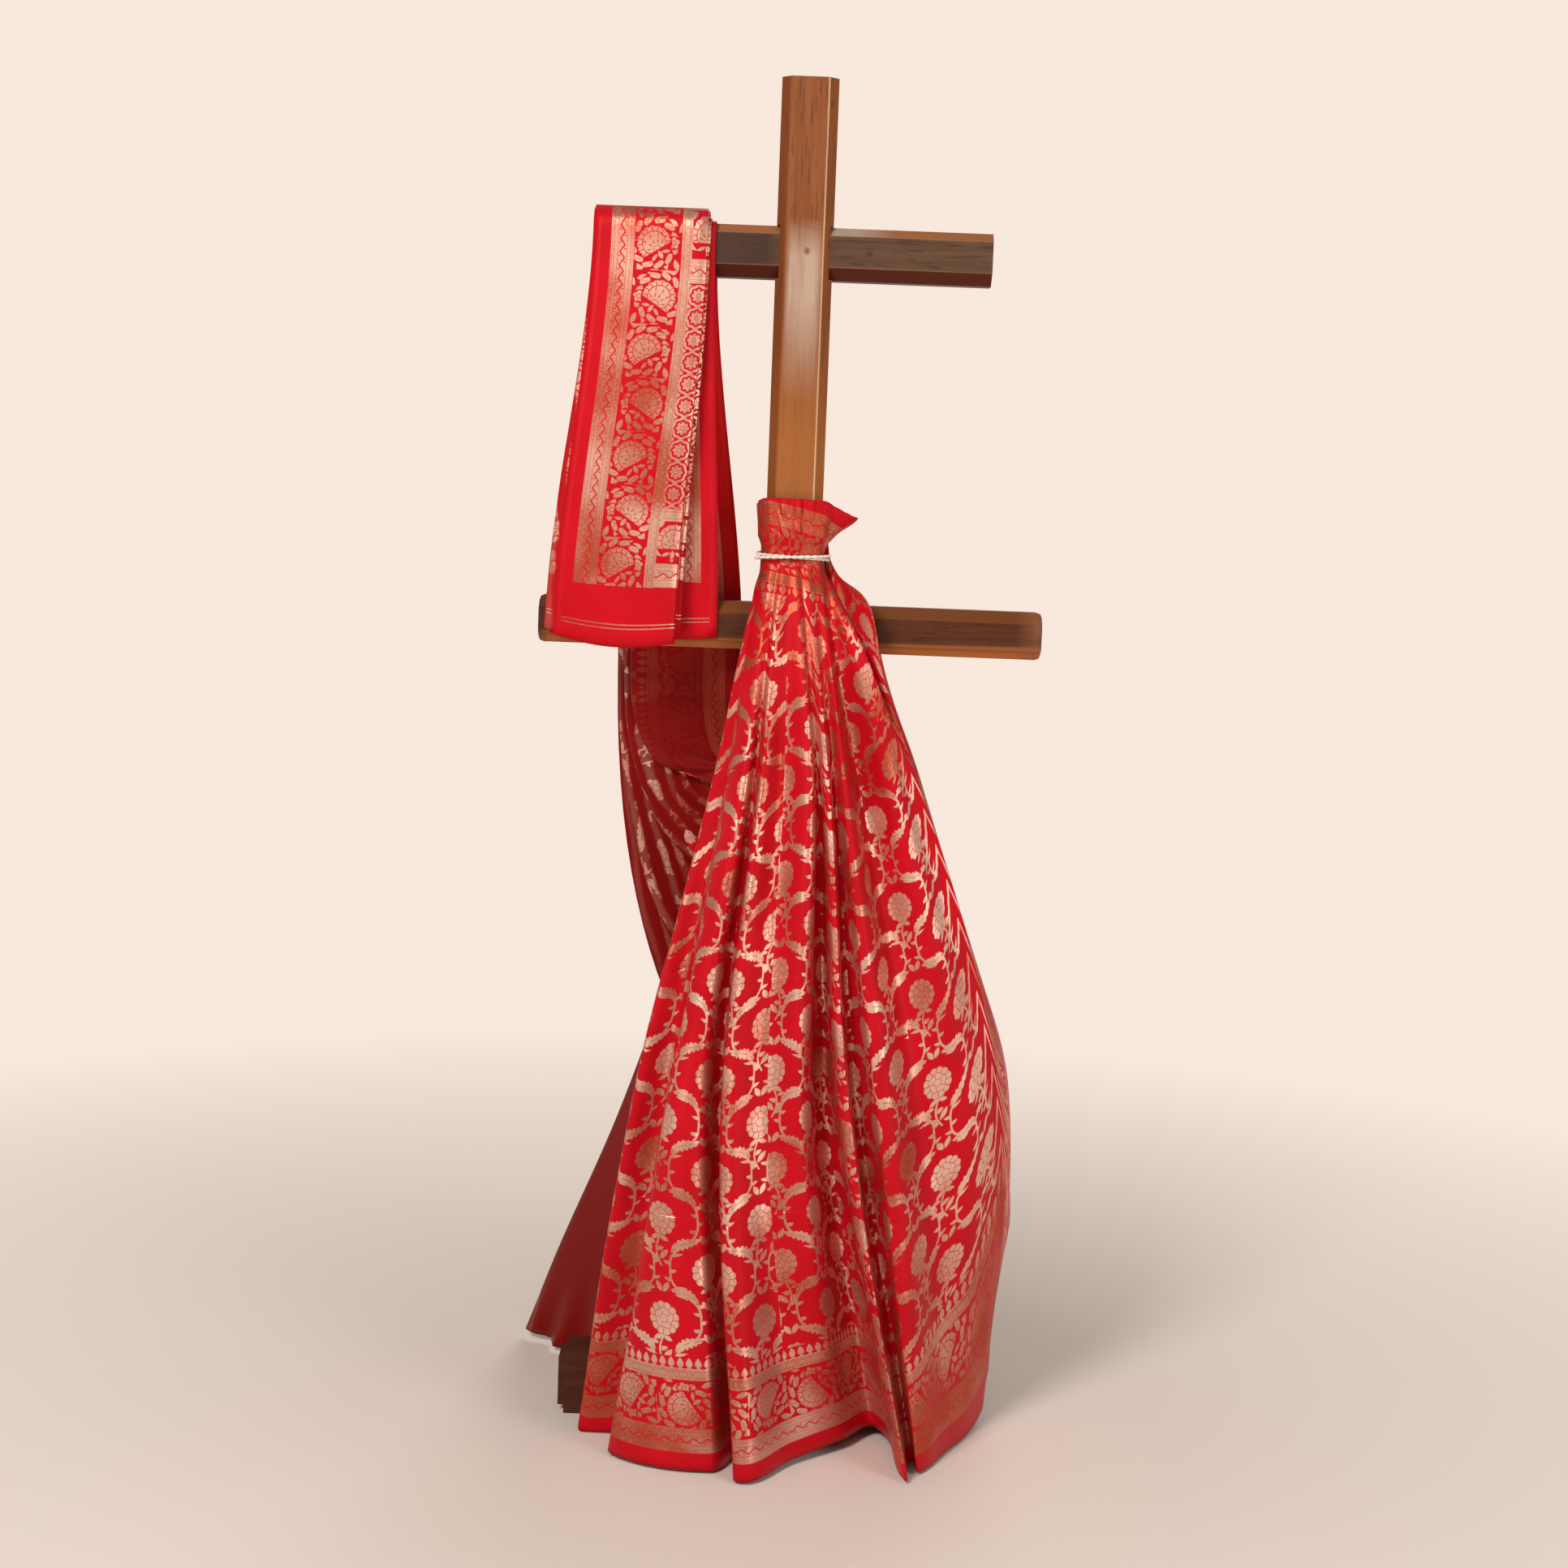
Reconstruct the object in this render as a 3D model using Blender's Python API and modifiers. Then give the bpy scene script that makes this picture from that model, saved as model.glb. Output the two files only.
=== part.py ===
"""A silk sari with a zari border, folded over one arm of a wooden cross stand and tied round its post.

Metres, +Z up, the front towards -Y. The origin is on the floor under the post's axis.
"""

from collections import namedtuple
from math import cos, pi, radians, sin

import bmesh
import bpy
import numpy as np

MM = 0.001
FIT_GAP = 0.3 * MM

# Stand
POST_SIDE = 66 * MM
POST_HEIGHT = 1600 * MM
POST_CHAMFER = 11.5 * MM
BAR_DEPTH = 50 * MM
UPPER_BAR_HEIGHT = 60 * MM
UPPER_BAR_Z = 1402 * MM
UPPER_BAR_LEFT = -242 * MM
UPPER_BAR_RIGHT = 219 * MM
UPPER_BAR_TOP_CHAMFER = 10 * MM
UPPER_BAR_LOW_CHAMFER = 14 * MM
LOWER_BAR_HEIGHT = 56 * MM
LOWER_BAR_Z = 967 * MM
LOWER_BAR_REACH = 298 * MM
LOWER_BAR_TOP_CHAMFER = 14 * MM
LOWER_BAR_LOW_CHAMFER = 10 * MM
WORN_END_ROUND = 7 * MM
BASE_HEIGHT = 76 * MM
BASE_DEPTH = 66 * MM
BASE_RAIL_REACH = 248 * MM
BASE_FOOT_REACH = 135 * MM
BASE_CHAMFER = 8 * MM

# Cloth
CLOTH_THICK = 1.0 * MM
CLOTH_CLEAR = 2.2 * MM
HEM_CLEAR = 1.0 * MM
LAYERS = 7
POINTS_PER_LAYER = 3
COLUMNS = LAYERS * POINTS_PER_LAYER
PITCH_ON_BAR = 2.3 * MM
PITCH_AT_PALLU_END = 6.0 * MM
PITCH_AT_DROP_END = 7.0 * MM
BAR_WRAP_RADIUS = 8 * MM
PILE_TOP_Z = UPPER_BAR_Z + UPPER_BAR_HEIGHT / 2 - BAR_WRAP_RADIUS
DROP_END_Z = 900 * MM
FRONT_STATIONS = 6
WRAP_STATIONS = 3
DROP_STATIONS = 6
SWAG_STATIONS = 15
SKIRT_STEPS = 3

# Each crease runs along the cloth, between two layers of the pile over the upper bar. The first and
# last rows are the two selvedges. Millimetres.
Crease = namedtuple("Crease", "name bar_x pallu_x pallu_z drop_x")
CREASES = (
    Crease("hem selvedge", -243, -276, 950, -209),
    Crease("outer right fold", -113, -137, 944, -92),
    Crease("first left fold", -243, -284, 957, -204),
    Crease("second right fold", -115, -134, 955, -86),
    Crease("second left fold", -242, -279, 951, -196),
    Crease("third right fold", -110, -130, 954, -76),
    Crease("third left fold", -240, -274, 960, -188),
    Crease("neck selvedge", -103, -86, 952, -56),
)

# Each rise line runs up the end of the swag, from the hem to the neck selvedge. The lines pass under
# the lower bar's right arm, from behind the post to the front. Pleat is the half depth of the pleats
# left over from the pile. Millimetres.
RISE_T = (0, 0.38, 0.70, 0.86, 1)
Rise = namedtuple("Rise", "name hem knee waist arm top pleat")
RISES = (
    Rise("rear corner", (262, 176, 222), (220, 126, 420),
         (128, 75, 725), (105, 60, 812), (86, 48, 880), 38),
    Rise("side", (290, 128, 180), (264, 66, 420),
         (150, 32, 752), (126, 24, 838), (104, 18, 902), 20),
    Rise("under the arm", (291, 90, 130), (283, 12, 420),
         (161, -4, 778), (132, -9, 856), (108, -13, 920), 7),
    Rise("bulge", (286, 58, 86), (283, -16, 420),
         (162, -26, 788), (126, -34, 884), (102, -41, 950), 2),
    Rise("front of the arm", (282, 36, 52), (277, -36, 420),
         (158, -39, 794), (109, -55, 920), (98.5, -70, 994), 0),
    Rise("over the arm", (279, 26, 40), (273, -44, 420),
         (154, -46, 798), (76.5, -47, 950), (39.8, 15.2, 1022), 0),
)

# Each fold line runs up the skirt from the hem to the neck, in order from the right-hand side, round
# the front, to the cut inner end at the back. Knee, waist and bar are three heights on the way up, the
# last in front of the lower bar. The neck angle is measured from +X, and swell is how far the line
# stands off the post at the tie. Flare is how far its top leans out above it. Millimetres and degrees.
KNEE_Z, WAIST_Z, BAR_Z, TIE_Z = 420, 800, 968, 1050
KNEE_T, WAIST_T, BAR_T, TIE_T = 0.38, 0.70, 0.86, 0.93
Fold = namedtuple("Fold", "name hem knee waist bar neck swell flare head_z")
FOLDS = (
    Fold("neck corner", (277, 16, 30), (268, -48), (150, -48), (70.5, -52.2), 10.3, 0.4, 3, 1077),
    Fold("side ridge", (272, -6, 14), (258, -58), (143, -52), (75.8, -58), -6.7, 2, 33.2, 1096),
    Fold("right panel", (250, -62, 4), (222, -86), (121, -66), (66, -57), -17, 3, 30, 1100),
    Fold("long valley", (222, -118, 4), (172, -92), (84, -40), (49, -43), -30, 1, 12, 1110),
    Fold("broad ridge", (186, -188, 4), (128, -136), (70, -90), (43, -60), -43, 3, 5, 1116),
    Fold("narrow valley", (178, -166, 8), (99, -82), (56, -50), (34, -47), -54, 1, 3, 1117),
    Fold("narrow ridge", (169, -212, 4), (85, -130), (49, -88), (27, -64), -64, 3, 4, 1117),
    Fold("deep valley", (140, -78, 14), (64, -62), (37, -46), (19, -46), -74, 1, 2, 1118),
    Fold("centre panel", (96, -122, 14), (34, -137), (29, -92), (12, -66), -84, 3, 4, 1118),
    Fold("upper valley", (40, -172, 8), (-4, -122), (-3, -48), (-4, -46), -95, 1, 2, 1118),
    Fold("centre ridge", (-22, -236, 4), (-54, -141), (-25, -90), (-17, -64), -106, 3, 4, 1118),
    Fold("inner valley", (-14, -156, 6), (-57, -76), (-33, -46), (-23, -46), -116, 1, 2, 1118),
    Fold("left panel", (-56, -207, 4), (-84, -126), (-45, -84), (-31, -60), -126, 3, 4, 1118),
    Fold("left ridge", (-171, -163, 4), (-118, -122), (-61, -68), (-41, -53), -139, 3, 3, 1117),
    Fold("left valley", (-150, -104, 6), (-121, -72), (-59, -38), (-44, -44), -151, 1, 2, 1116),
    Fold("left edge", (-219, -90, 7), (-163, -78), (-82, -38), (-52, -42), -162, 3, 3, 1114),
    Fold("turn", (-152, -52, 84), (-130, -38), (-68, -22), (-49, -36), -168, 1, 2, 1112),
    Fold("over the rail", (-178, 14, 92), (-140, 12), (-66, -12), (-46, -38), -173, 2, 3, 1111),
    Fold("behind the rail", (-168, 68, 44), (-132, 40), (-58, -6), (-43, -35.5), -178, 1, 2, 1110),
    Fold("end panel", (-236, 157, 9), (-150, 62), (-53, 2), (-40, -38), -182, 2, 3, 1110),
    Fold("cut end", (-316, 240, 10), (-166, 88), (-46, 6), (-36.5, -36), -186, 1, 2, 1110),
)

# The cloth's columns in the skirt, closer together where the tie draws it in.
SKIRT_SHARES = (*np.linspace(0, BAR_T, COLUMNS - 5), 0.892, 0.918, 0.942, 0.97, 1.0)
NECK_BAND_T = 0.011
NECK_BAND = 11
NECK_CLEAR = 1.3 * MM
NECK_ROUND = 0.25

# The pull of the swag's start and end, at the hem selvedge and at the neck selvedge.
SWAG_DROP = (0.58, 0.18)
SWAG_BACK = (0.105, 0.065)
SWAG_SWEEP = (0.155, 0.07)
SWAG_TURN = (-0.02, 0.03)
SWAG_RISE = (0.02, 0.05)
DROP_LEAN = 14 * MM

# Tie
CORD_RADIUS = 1.9 * MM
TIE_STEPS = 96
TIE_HALF_SPREAD = 4.2 * MM
TIE_CROSSING_DEG = -92
TIE_STAND_OFF = 7.8 * MM
TIE_OVERLAP = 2.3


def clear_scene():
    for old in list(bpy.data.objects):
        bpy.data.objects.remove(old, do_unlink=True)


def collection(name, hidden=False):
    made = bpy.data.collections.new(name)
    bpy.context.scene.collection.children.link(made)
    made.hide_render = hidden
    return made


def material(name, colour, roughness, metallic=0.0):
    made = bpy.data.materials.new(name)
    made.use_nodes = True
    shader = made.node_tree.nodes["Principled BSDF"]
    shader.inputs["Base Color"].default_value = (*colour, 1.0)
    shader.inputs["Roughness"].default_value = roughness
    shader.inputs["Metallic"].default_value = metallic
    made.diffuse_color = (*colour, 1.0)
    return made


def place(mesh, name, group, finish=None):
    made = bpy.data.objects.new(name, mesh)
    group.objects.link(made)
    if finish:
        mesh.materials.append(finish)
    return made


def box_mesh(name, low, high):
    """A box between two corners."""
    size = np.subtract(high, low)
    middle = np.add(high, low) / 2
    bm = bmesh.new()
    bmesh.ops.create_cube(bm, size=1.0)
    for vert in bm.verts:
        vert.co = tuple(np.multiply(vert.co, size) + middle)
    mesh = bpy.data.meshes.new(name)
    bm.to_mesh(mesh)
    bm.free()
    return mesh


def chamfered_bar(name, low, high, axis, top_chamfer, low_chamfer):
    """A bar along one axis whose four long edges are cut off, the upper two and the lower two apart."""
    bm = bmesh.new()
    bm.from_mesh(box_mesh(name, low, high))
    for above, width in ((True, top_chamfer), (False, low_chamfer)):
        middle = (low[2] + high[2]) / 2
        edges = [
            edge
            for edge in bm.edges
            if abs(edge.verts[0].co[axis] - edge.verts[1].co[axis]) > width * 2
            and ((edge.verts[0].co.z > middle) == above or axis == 2)
        ]
        bmesh.ops.bevel(bm, geom=edges, offset=width, segments=1, affect="EDGES")
        if axis == 2:
            break
    mesh = bpy.data.meshes.new(name)
    bm.to_mesh(mesh)
    bm.free()
    return mesh


def round_ends(piece, width):
    """Rounds the sharp corners at a bar's ends, where the angle is a right one."""
    bevel = piece.modifiers.new("Worn ends", "BEVEL")
    bevel.width = width
    bevel.segments = 2
    bevel.limit_method = "ANGLE"
    bevel.angle_limit = radians(60)
    return bevel


def cut(piece, low, high, name, group):
    """Cuts a box out of a piece."""
    cutter = place(box_mesh(name, low, high), name, group)
    cutter.hide_render = True
    cutter.display_type = "WIRE"
    boolean = piece.modifiers.new(name, "BOOLEAN")
    boolean.operation = "DIFFERENCE"
    boolean.object = cutter


def bar_box(left, right, height, middle_z):
    half_depth, half_height = BAR_DEPTH / 2, height / 2
    return (left, -half_depth, middle_z - half_height), (right, half_depth, middle_z + half_height)


def mortise_box(height, middle_z):
    low, high = bar_box(-POST_SIDE, POST_SIDE, height, middle_z)
    return np.subtract(low, (0, FIT_GAP, FIT_GAP)), np.add(high, (0, FIT_GAP, FIT_GAP))


def make_post(group, cutters, wood):
    half = POST_SIDE / 2
    low, high = (-half, -half, BASE_HEIGHT + FIT_GAP), (half, half, POST_HEIGHT)
    mesh = chamfered_bar("post", low, high, 2, POST_CHAMFER, POST_CHAMFER)
    post = place(mesh, "post", group, wood)
    cut(post, *mortise_box(UPPER_BAR_HEIGHT, UPPER_BAR_Z), "upper_mortise", cutters)
    cut(post, *mortise_box(LOWER_BAR_HEIGHT, LOWER_BAR_Z), "lower_mortise", cutters)


def make_crossbars(group, wood):
    low, high = bar_box(UPPER_BAR_LEFT, UPPER_BAR_RIGHT, UPPER_BAR_HEIGHT, UPPER_BAR_Z)
    mesh = chamfered_bar("upper_crossbar", low, high, 0, UPPER_BAR_TOP_CHAMFER, UPPER_BAR_LOW_CHAMFER)
    place(mesh, "upper_crossbar", group, wood)
    low, high = bar_box(-LOWER_BAR_REACH, LOWER_BAR_REACH, LOWER_BAR_HEIGHT, LOWER_BAR_Z)
    mesh = chamfered_bar("lower_crossbar", low, high, 0, LOWER_BAR_TOP_CHAMFER, LOWER_BAR_LOW_CHAMFER)
    round_ends(place(mesh, "lower_crossbar", group, wood), WORN_END_ROUND)


def make_base(group, cutters, wood):
    """Two floor rails, half-lapped where they cross under the post."""
    half, lap_z = BASE_DEPTH / 2, BASE_HEIGHT / 2
    for name, axis, reach in (("base_rail", 0, BASE_RAIL_REACH), ("base_foot", 1, BASE_FOOT_REACH)):
        corner = np.array((half, half, BASE_HEIGHT))
        corner[axis] = reach
        low = (-corner[0], -corner[1], 0.0)
        bm = bmesh.new()
        bm.from_mesh(box_mesh(name, low, corner))
        ends = [e for e in bm.edges if abs(e.verts[0].co[axis] + e.verts[1].co[axis]) > reach * 1.9]
        bmesh.ops.bevel(bm, geom=ends, offset=BASE_CHAMFER, segments=2, affect="EDGES")
        mesh = bpy.data.meshes.new(name)
        bm.to_mesh(mesh)
        bm.free()
        rail = place(mesh, name, group, wood)
        gap = half + FIT_GAP
        low_z, high_z = (lap_z, BASE_HEIGHT * 2) if axis == 0 else (-lap_z, lap_z + FIT_GAP)
        cut(rail, (-gap, -gap, low_z), (gap, gap, high_z), name + "_lap", cutters)


def blend(a, b, share):
    return a + (b - a) * share


def ease(share):
    return share * share * (3 - 2 * share)


def hermite(start, end, start_pull, end_pull, share):
    """A cubic between two points that leaves and arrives along the given pulls."""
    square, cube = share**2, share**3
    return (
        start * (2 * cube - 3 * square + 1)
        + start_pull * (cube - 2 * square + share)
        + end * (3 * square - 2 * cube)
        + end_pull * (cube - square)
    )


def curve_through(knots, points, at):
    """Reads a smooth curve through points at the given values of its parameter."""
    knots, points = np.asarray(knots, float), np.asarray(points, float)
    slopes = np.gradient(points, knots, axis=0, edge_order=1)
    out = []
    for value in at:
        i = int(np.clip(np.searchsorted(knots, value) - 1, 0, len(knots) - 2))
        span = knots[i + 1] - knots[i]
        share = (value - knots[i]) / span
        out.append(hermite(points[i], points[i + 1], slopes[i] * span, slopes[i + 1] * span, share))
    return np.array(out)


def column_layers():
    """For each column across the cloth: its layer, 0 outermost, and its share of the way over it."""
    step = np.arange(COLUMNS)
    return step // POINTS_PER_LAYER, (step % POINTS_PER_LAYER) / (POINTS_PER_LAYER - 1)


def over_layers(values):
    """Spreads one value per crease over the columns between the creases."""
    layer, share = column_layers()
    values = np.asarray(values, float)
    return blend(values[layer], values[layer + 1], share)


def crease_column(field):
    return over_layers([getattr(crease, field) for crease in CREASES]) * MM


def stand_off(pitch):
    """How far each column's layer lies from the bar's face, the innermost layer nearest."""
    layer, _ = column_layers()
    return CLOTH_CLEAR + (LAYERS - 1 - layer) * pitch


def pile_sections():
    """The folded pile: up the front from the cut end, over the upper bar and down behind it."""
    sections = []
    face = BAR_DEPTH / 2
    bar_x, end_x = crease_column("bar_x"), crease_column("pallu_x")
    end_z, drop_x = crease_column("pallu_z"), crease_column("drop_x")
    for share in np.linspace(0, 1, FRONT_STATIONS):
        y = -face - stand_off(blend(PITCH_AT_PALLU_END, PITCH_ON_BAR, share))
        sections.append(np.stack([blend(end_x, bar_x, ease(share)), y, blend(end_z, PILE_TOP_Z, share)], 1))
    reach = stand_off(PITCH_ON_BAR) + BAR_WRAP_RADIUS
    for side, angles in ((-1, (180, 90)), (1, (90, 0))):
        for angle in np.radians(np.linspace(*angles, WRAP_STATIONS + 1))[1:]:
            y = side * (face - BAR_WRAP_RADIUS) + reach * cos(angle)
            sections.append(np.stack([bar_x, y, PILE_TOP_Z + reach * sin(angle)], 1))
        if side < 0:
            sections.append(np.stack([bar_x, -sections[-1][:, 1], sections[-1][:, 2]], 1))
    for share in np.linspace(0, 1, DROP_STATIONS)[1:]:
        y = face + DROP_LEAN * share + stand_off(blend(PITCH_ON_BAR, PITCH_AT_DROP_END, share))
        z = np.full(COLUMNS, blend(PILE_TOP_Z, DROP_END_Z, share))
        sections.append(np.stack([blend(bar_x, drop_x, ease(share)), y, z], 1))
    return sections


def post_radius(angle):
    """The distance from the post's axis to its chamfered surface, in one direction."""
    flat = (POST_SIDE / 2) / max(abs(cos(angle)), abs(sin(angle)))
    chamfer = (POST_SIDE - POST_CHAMFER) / 2**0.5
    return min(flat, chamfer / max(abs(cos(angle - pi / 4)), abs(cos(angle + pi / 4))))


def round_neck(angle, swell):
    """A point off the post at an angle, a little rounder than the post's own section."""
    corner = post_radius(radians(45))
    radius = max(post_radius(angle), blend(POST_SIDE / 2, corner, NECK_ROUND)) + swell
    return cos(angle) * radius, sin(angle) * radius


def fold_line(fold, shares):
    """One fold line up the skirt, in front of the lower bar, read at shares of the cloth's width."""
    angle = radians(fold.neck)
    tie = round_neck(angle, NECK_CLEAR + fold.swell * MM)
    head = round_neck(angle, NECK_CLEAR + (fold.swell + fold.flare) * MM)
    points = np.array(
        [
            np.multiply(fold.hem, MM),
            np.multiply((*fold.knee, KNEE_Z), MM),
            np.multiply((*fold.waist, WAIST_Z), MM),
            np.multiply((*fold.bar, BAR_Z), MM),
            (*tie, (TIE_Z - NECK_BAND) * MM),
            (*tie, (TIE_Z + NECK_BAND) * MM),
            (*head, fold.head_z * MM),
        ]
    )
    knots = (0, KNEE_T, WAIST_T, BAR_T, TIE_T - NECK_BAND_T, TIE_T + NECK_BAND_T, 1)
    return curve_through(knots, points, shares)


def rise_line(rise, shares):
    points = np.array([rise.hem, rise.knee, rise.waist, rise.arm, rise.top]) * MM
    return curve_through(RISE_T, points, shares)


def pleat_rise_lines(lines, along, shares):
    """Lets the pile's pleats fade out over the rise lines, outwards at each right fold."""
    outward = np.stack([-along[:, :, 1], along[:, :, 0], 0 * along[:, :, 2]], 2)
    outward /= np.linalg.norm(outward, axis=2, keepdims=True)
    fade = 1 - 0.7 * np.asarray(shares)
    wave = (-np.cos(LAYERS * pi * np.asarray(shares)) * fade)[:, None]
    for i, rise in enumerate(RISES):
        lines[i] += outward[i] * wave * rise.pleat * MM


def skirt_sections():
    """The end of the swag and the gathered skirt: their fold lines, with rounded cloth between."""
    lines = [rise_line(rise, SKIRT_SHARES) for rise in RISES]
    lines = np.array(lines + [fold_line(fold, SKIRT_SHARES) for fold in FOLDS])
    along = np.concatenate([lines[1:2] - lines[:1], lines[2:] - lines[:-2], lines[-1:] - lines[-2:-1]])
    along /= np.linalg.norm(along, axis=2, keepdims=True)
    pleat_rise_lines(lines, along, SKIRT_SHARES)
    sections = [lines[0]]
    for i in range(len(lines) - 1):
        length = np.linalg.norm(lines[i + 1] - lines[i], axis=1, keepdims=True)
        for step in range(1, SKIRT_STEPS + 1):
            share = step / SKIRT_STEPS
            section = hermite(lines[i], lines[i + 1], along[i] * length, along[i + 1] * length, share)
            section[:, 2] = np.maximum(section[:, 2], HEM_CLEAR)
            sections.append(section)
    return sections


def swag_sections(start, end):
    """The swag: the pile opens out as it falls behind the bars, and sweeps behind the post."""
    across = np.array(SKIRT_SHARES)[:, None]
    down = np.hstack([0 * across, blend(*SWAG_BACK, across), -blend(*SWAG_DROP, across)])
    sweep = [blend(*pull, across) for pull in (SWAG_SWEEP, SWAG_TURN, SWAG_RISE)]
    shares = np.linspace(0, 1, SWAG_STATIONS + 1)[1:-1]
    return [hermite(start, end, down * 3, np.hstack(sweep) * 3, share) for share in shares]


def sheet_mesh(name, sections):
    """An open sheet over a row of sections of equal length."""
    bm = bmesh.new()
    rows = [[bm.verts.new(point) for point in section] for section in sections]
    for before, after in zip(rows, rows[1:]):
        for i in range(len(before) - 1):
            bm.faces.new((before[i], before[i + 1], after[i + 1], after[i]))
    bm.normal_update()
    mesh = bpy.data.meshes.new(name)
    bm.to_mesh(mesh)
    bm.free()
    mesh.shade_smooth()
    return mesh


def make_sari(group, silk):
    pile, skirt = pile_sections(), skirt_sections()
    sections = pile + swag_sections(pile[-1], skirt[0]) + skirt
    sari = place(sheet_mesh("sari", sections), "sari", group, silk)
    thick = sari.modifiers.new("Thickness", "SOLIDIFY")
    thick.thickness = CLOTH_THICK
    thick.offset = 0.0


def tie_point(turn):
    """A point of the string at an angle through its two turns, which cross once at the front."""
    angle = turn + radians(TIE_CROSSING_DEG)
    over = TIE_OVERLAP * CORD_RADIUS * max(0, cos(turn / 2)) ** 3
    x, y = round_neck(angle, TIE_STAND_OFF + over)
    return x, y, TIE_Z * MM + TIE_HALF_SPREAD * sin(turn / 2)


def make_tie(group, cotton):
    curve = bpy.data.curves.new("tie_cord", "CURVE")
    curve.dimensions = "3D"
    curve.bevel_depth = CORD_RADIUS
    curve.bevel_resolution = 2
    spline = curve.splines.new("POLY")
    spline.points.add(TIE_STEPS - 1)
    spline.use_cyclic_u = True
    for i, point in enumerate(spline.points):
        point.co = (*tie_point(4 * pi * i / TIE_STEPS), 1.0)
    place(curve, "tie_cord", group, cotton)


def main():
    clear_scene()
    parts = collection("sari_on_cross_stand")
    cutters = collection("cutters", hidden=True)
    wood = material("stand_wood", (0.26, 0.11, 0.045), 0.45)
    make_post(parts, cutters, wood)
    make_crossbars(parts, wood)
    make_base(parts, cutters, material("base_wood", (0.12, 0.05, 0.025), 0.5))
    make_sari(parts, material("crimson_silk", (0.62, 0.03, 0.035), 0.42))
    make_tie(parts, material("tie_cotton", (0.82, 0.79, 0.72), 0.85))


main()
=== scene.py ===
"""The looks of a silk sari with a zari border, folded over a wooden cross stand and tied to its post."""

from collections import namedtuple
from math import cos, pi, radians, sin

import bmesh
import bpy
import numpy as np
from mathutils import Matrix, Vector


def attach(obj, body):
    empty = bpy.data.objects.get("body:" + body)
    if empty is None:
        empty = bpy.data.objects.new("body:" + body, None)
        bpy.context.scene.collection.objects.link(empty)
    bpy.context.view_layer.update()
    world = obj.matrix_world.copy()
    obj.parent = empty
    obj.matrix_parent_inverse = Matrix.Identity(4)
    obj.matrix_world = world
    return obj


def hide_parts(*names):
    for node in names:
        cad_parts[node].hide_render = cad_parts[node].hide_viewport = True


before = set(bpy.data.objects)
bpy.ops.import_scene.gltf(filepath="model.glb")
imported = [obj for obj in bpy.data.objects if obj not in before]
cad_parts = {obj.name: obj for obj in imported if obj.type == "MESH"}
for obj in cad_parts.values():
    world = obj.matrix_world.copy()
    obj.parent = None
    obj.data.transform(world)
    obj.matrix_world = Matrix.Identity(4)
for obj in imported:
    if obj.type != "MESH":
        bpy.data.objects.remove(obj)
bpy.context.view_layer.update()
MM = 0.001

# Camera, light and floor

BACKDROP = (0.947, 0.807, 0.716)
CAMERA_AT = (0.0, -2.9, 1.10)
CAMERA_LENS = 55.9
CAMERA_DOWN = 6.33
CAMERA_ROLL = 2.2
FLOOR_RADIUS = 9.0

Lamp = namedtuple("Lamp", "name at size watts colour")
LAMPS = (
    Lamp("key_lamp", (-1.5, -2.7, 2.7), 1.1, 100, (1.0, 0.96, 0.92)),
    Lamp("fill_lamp", (2.3, -2.3, 1.5), 1.3, 30, (1.0, 0.97, 0.95)),
    Lamp("back_lamp", (0.9, 2.6, 2.6), 1.6, 30, (1.0, 0.98, 0.96)),
)
ROOM_LIGHT = (0.33, 0.30, 0.28)
ROOM_RADIUS = 14.0
FLOOR_COLOURS = ((0.74, 0.65, 0.58), (0.78, 0.68, 0.61))
FLOOR_FADES = (500, 2200)
LAMPS_AIM = Vector((0.0, 0.0, 0.8))


def new_object(name, data):
    made = bpy.data.objects.new(name, data)
    bpy.context.scene.collection.objects.link(made)
    return made


def make_camera():
    lens = bpy.data.cameras.new("camera")
    lens.lens = CAMERA_LENS
    lens.sensor_width = 36
    lens.clip_end = 60
    camera = new_object("camera", lens)
    down = Matrix.Rotation(radians(90 - CAMERA_DOWN), 4, "X")
    roll = Matrix.Rotation(radians(CAMERA_ROLL), 4, "Z")
    camera.matrix_world = Matrix.Translation(CAMERA_AT) @ down @ roll
    bpy.context.scene.camera = camera


def make_lights():
    for lamp in LAMPS:
        data = bpy.data.lights.new(lamp.name, "AREA")
        data.shape = "DISK"
        data.size = lamp.size
        data.energy = lamp.watts
        data.color = lamp.colour
        made = new_object(lamp.name, data)
        turn = (LAMPS_AIM - Vector(lamp.at)).to_track_quat("-Z", "Y").to_matrix().to_4x4()
        made.matrix_world = Matrix.Translation(lamp.at) @ turn
    world = bpy.data.worlds.new("soft_room")
    world.use_nodes = True
    world.node_tree.nodes["Background"].inputs["Color"].default_value = (*ROOM_LIGHT, 1)
    bpy.context.scene.world = world
    bpy.context.scene.view_settings.view_transform = "Standard"


# Node maths: a Value is a number that varies over a surface, used like one in a formula.


def maths(name):
    """A method that puts a value, and any others, through a Math node."""
    return lambda value, *others: value.op(name, *others)


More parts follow.
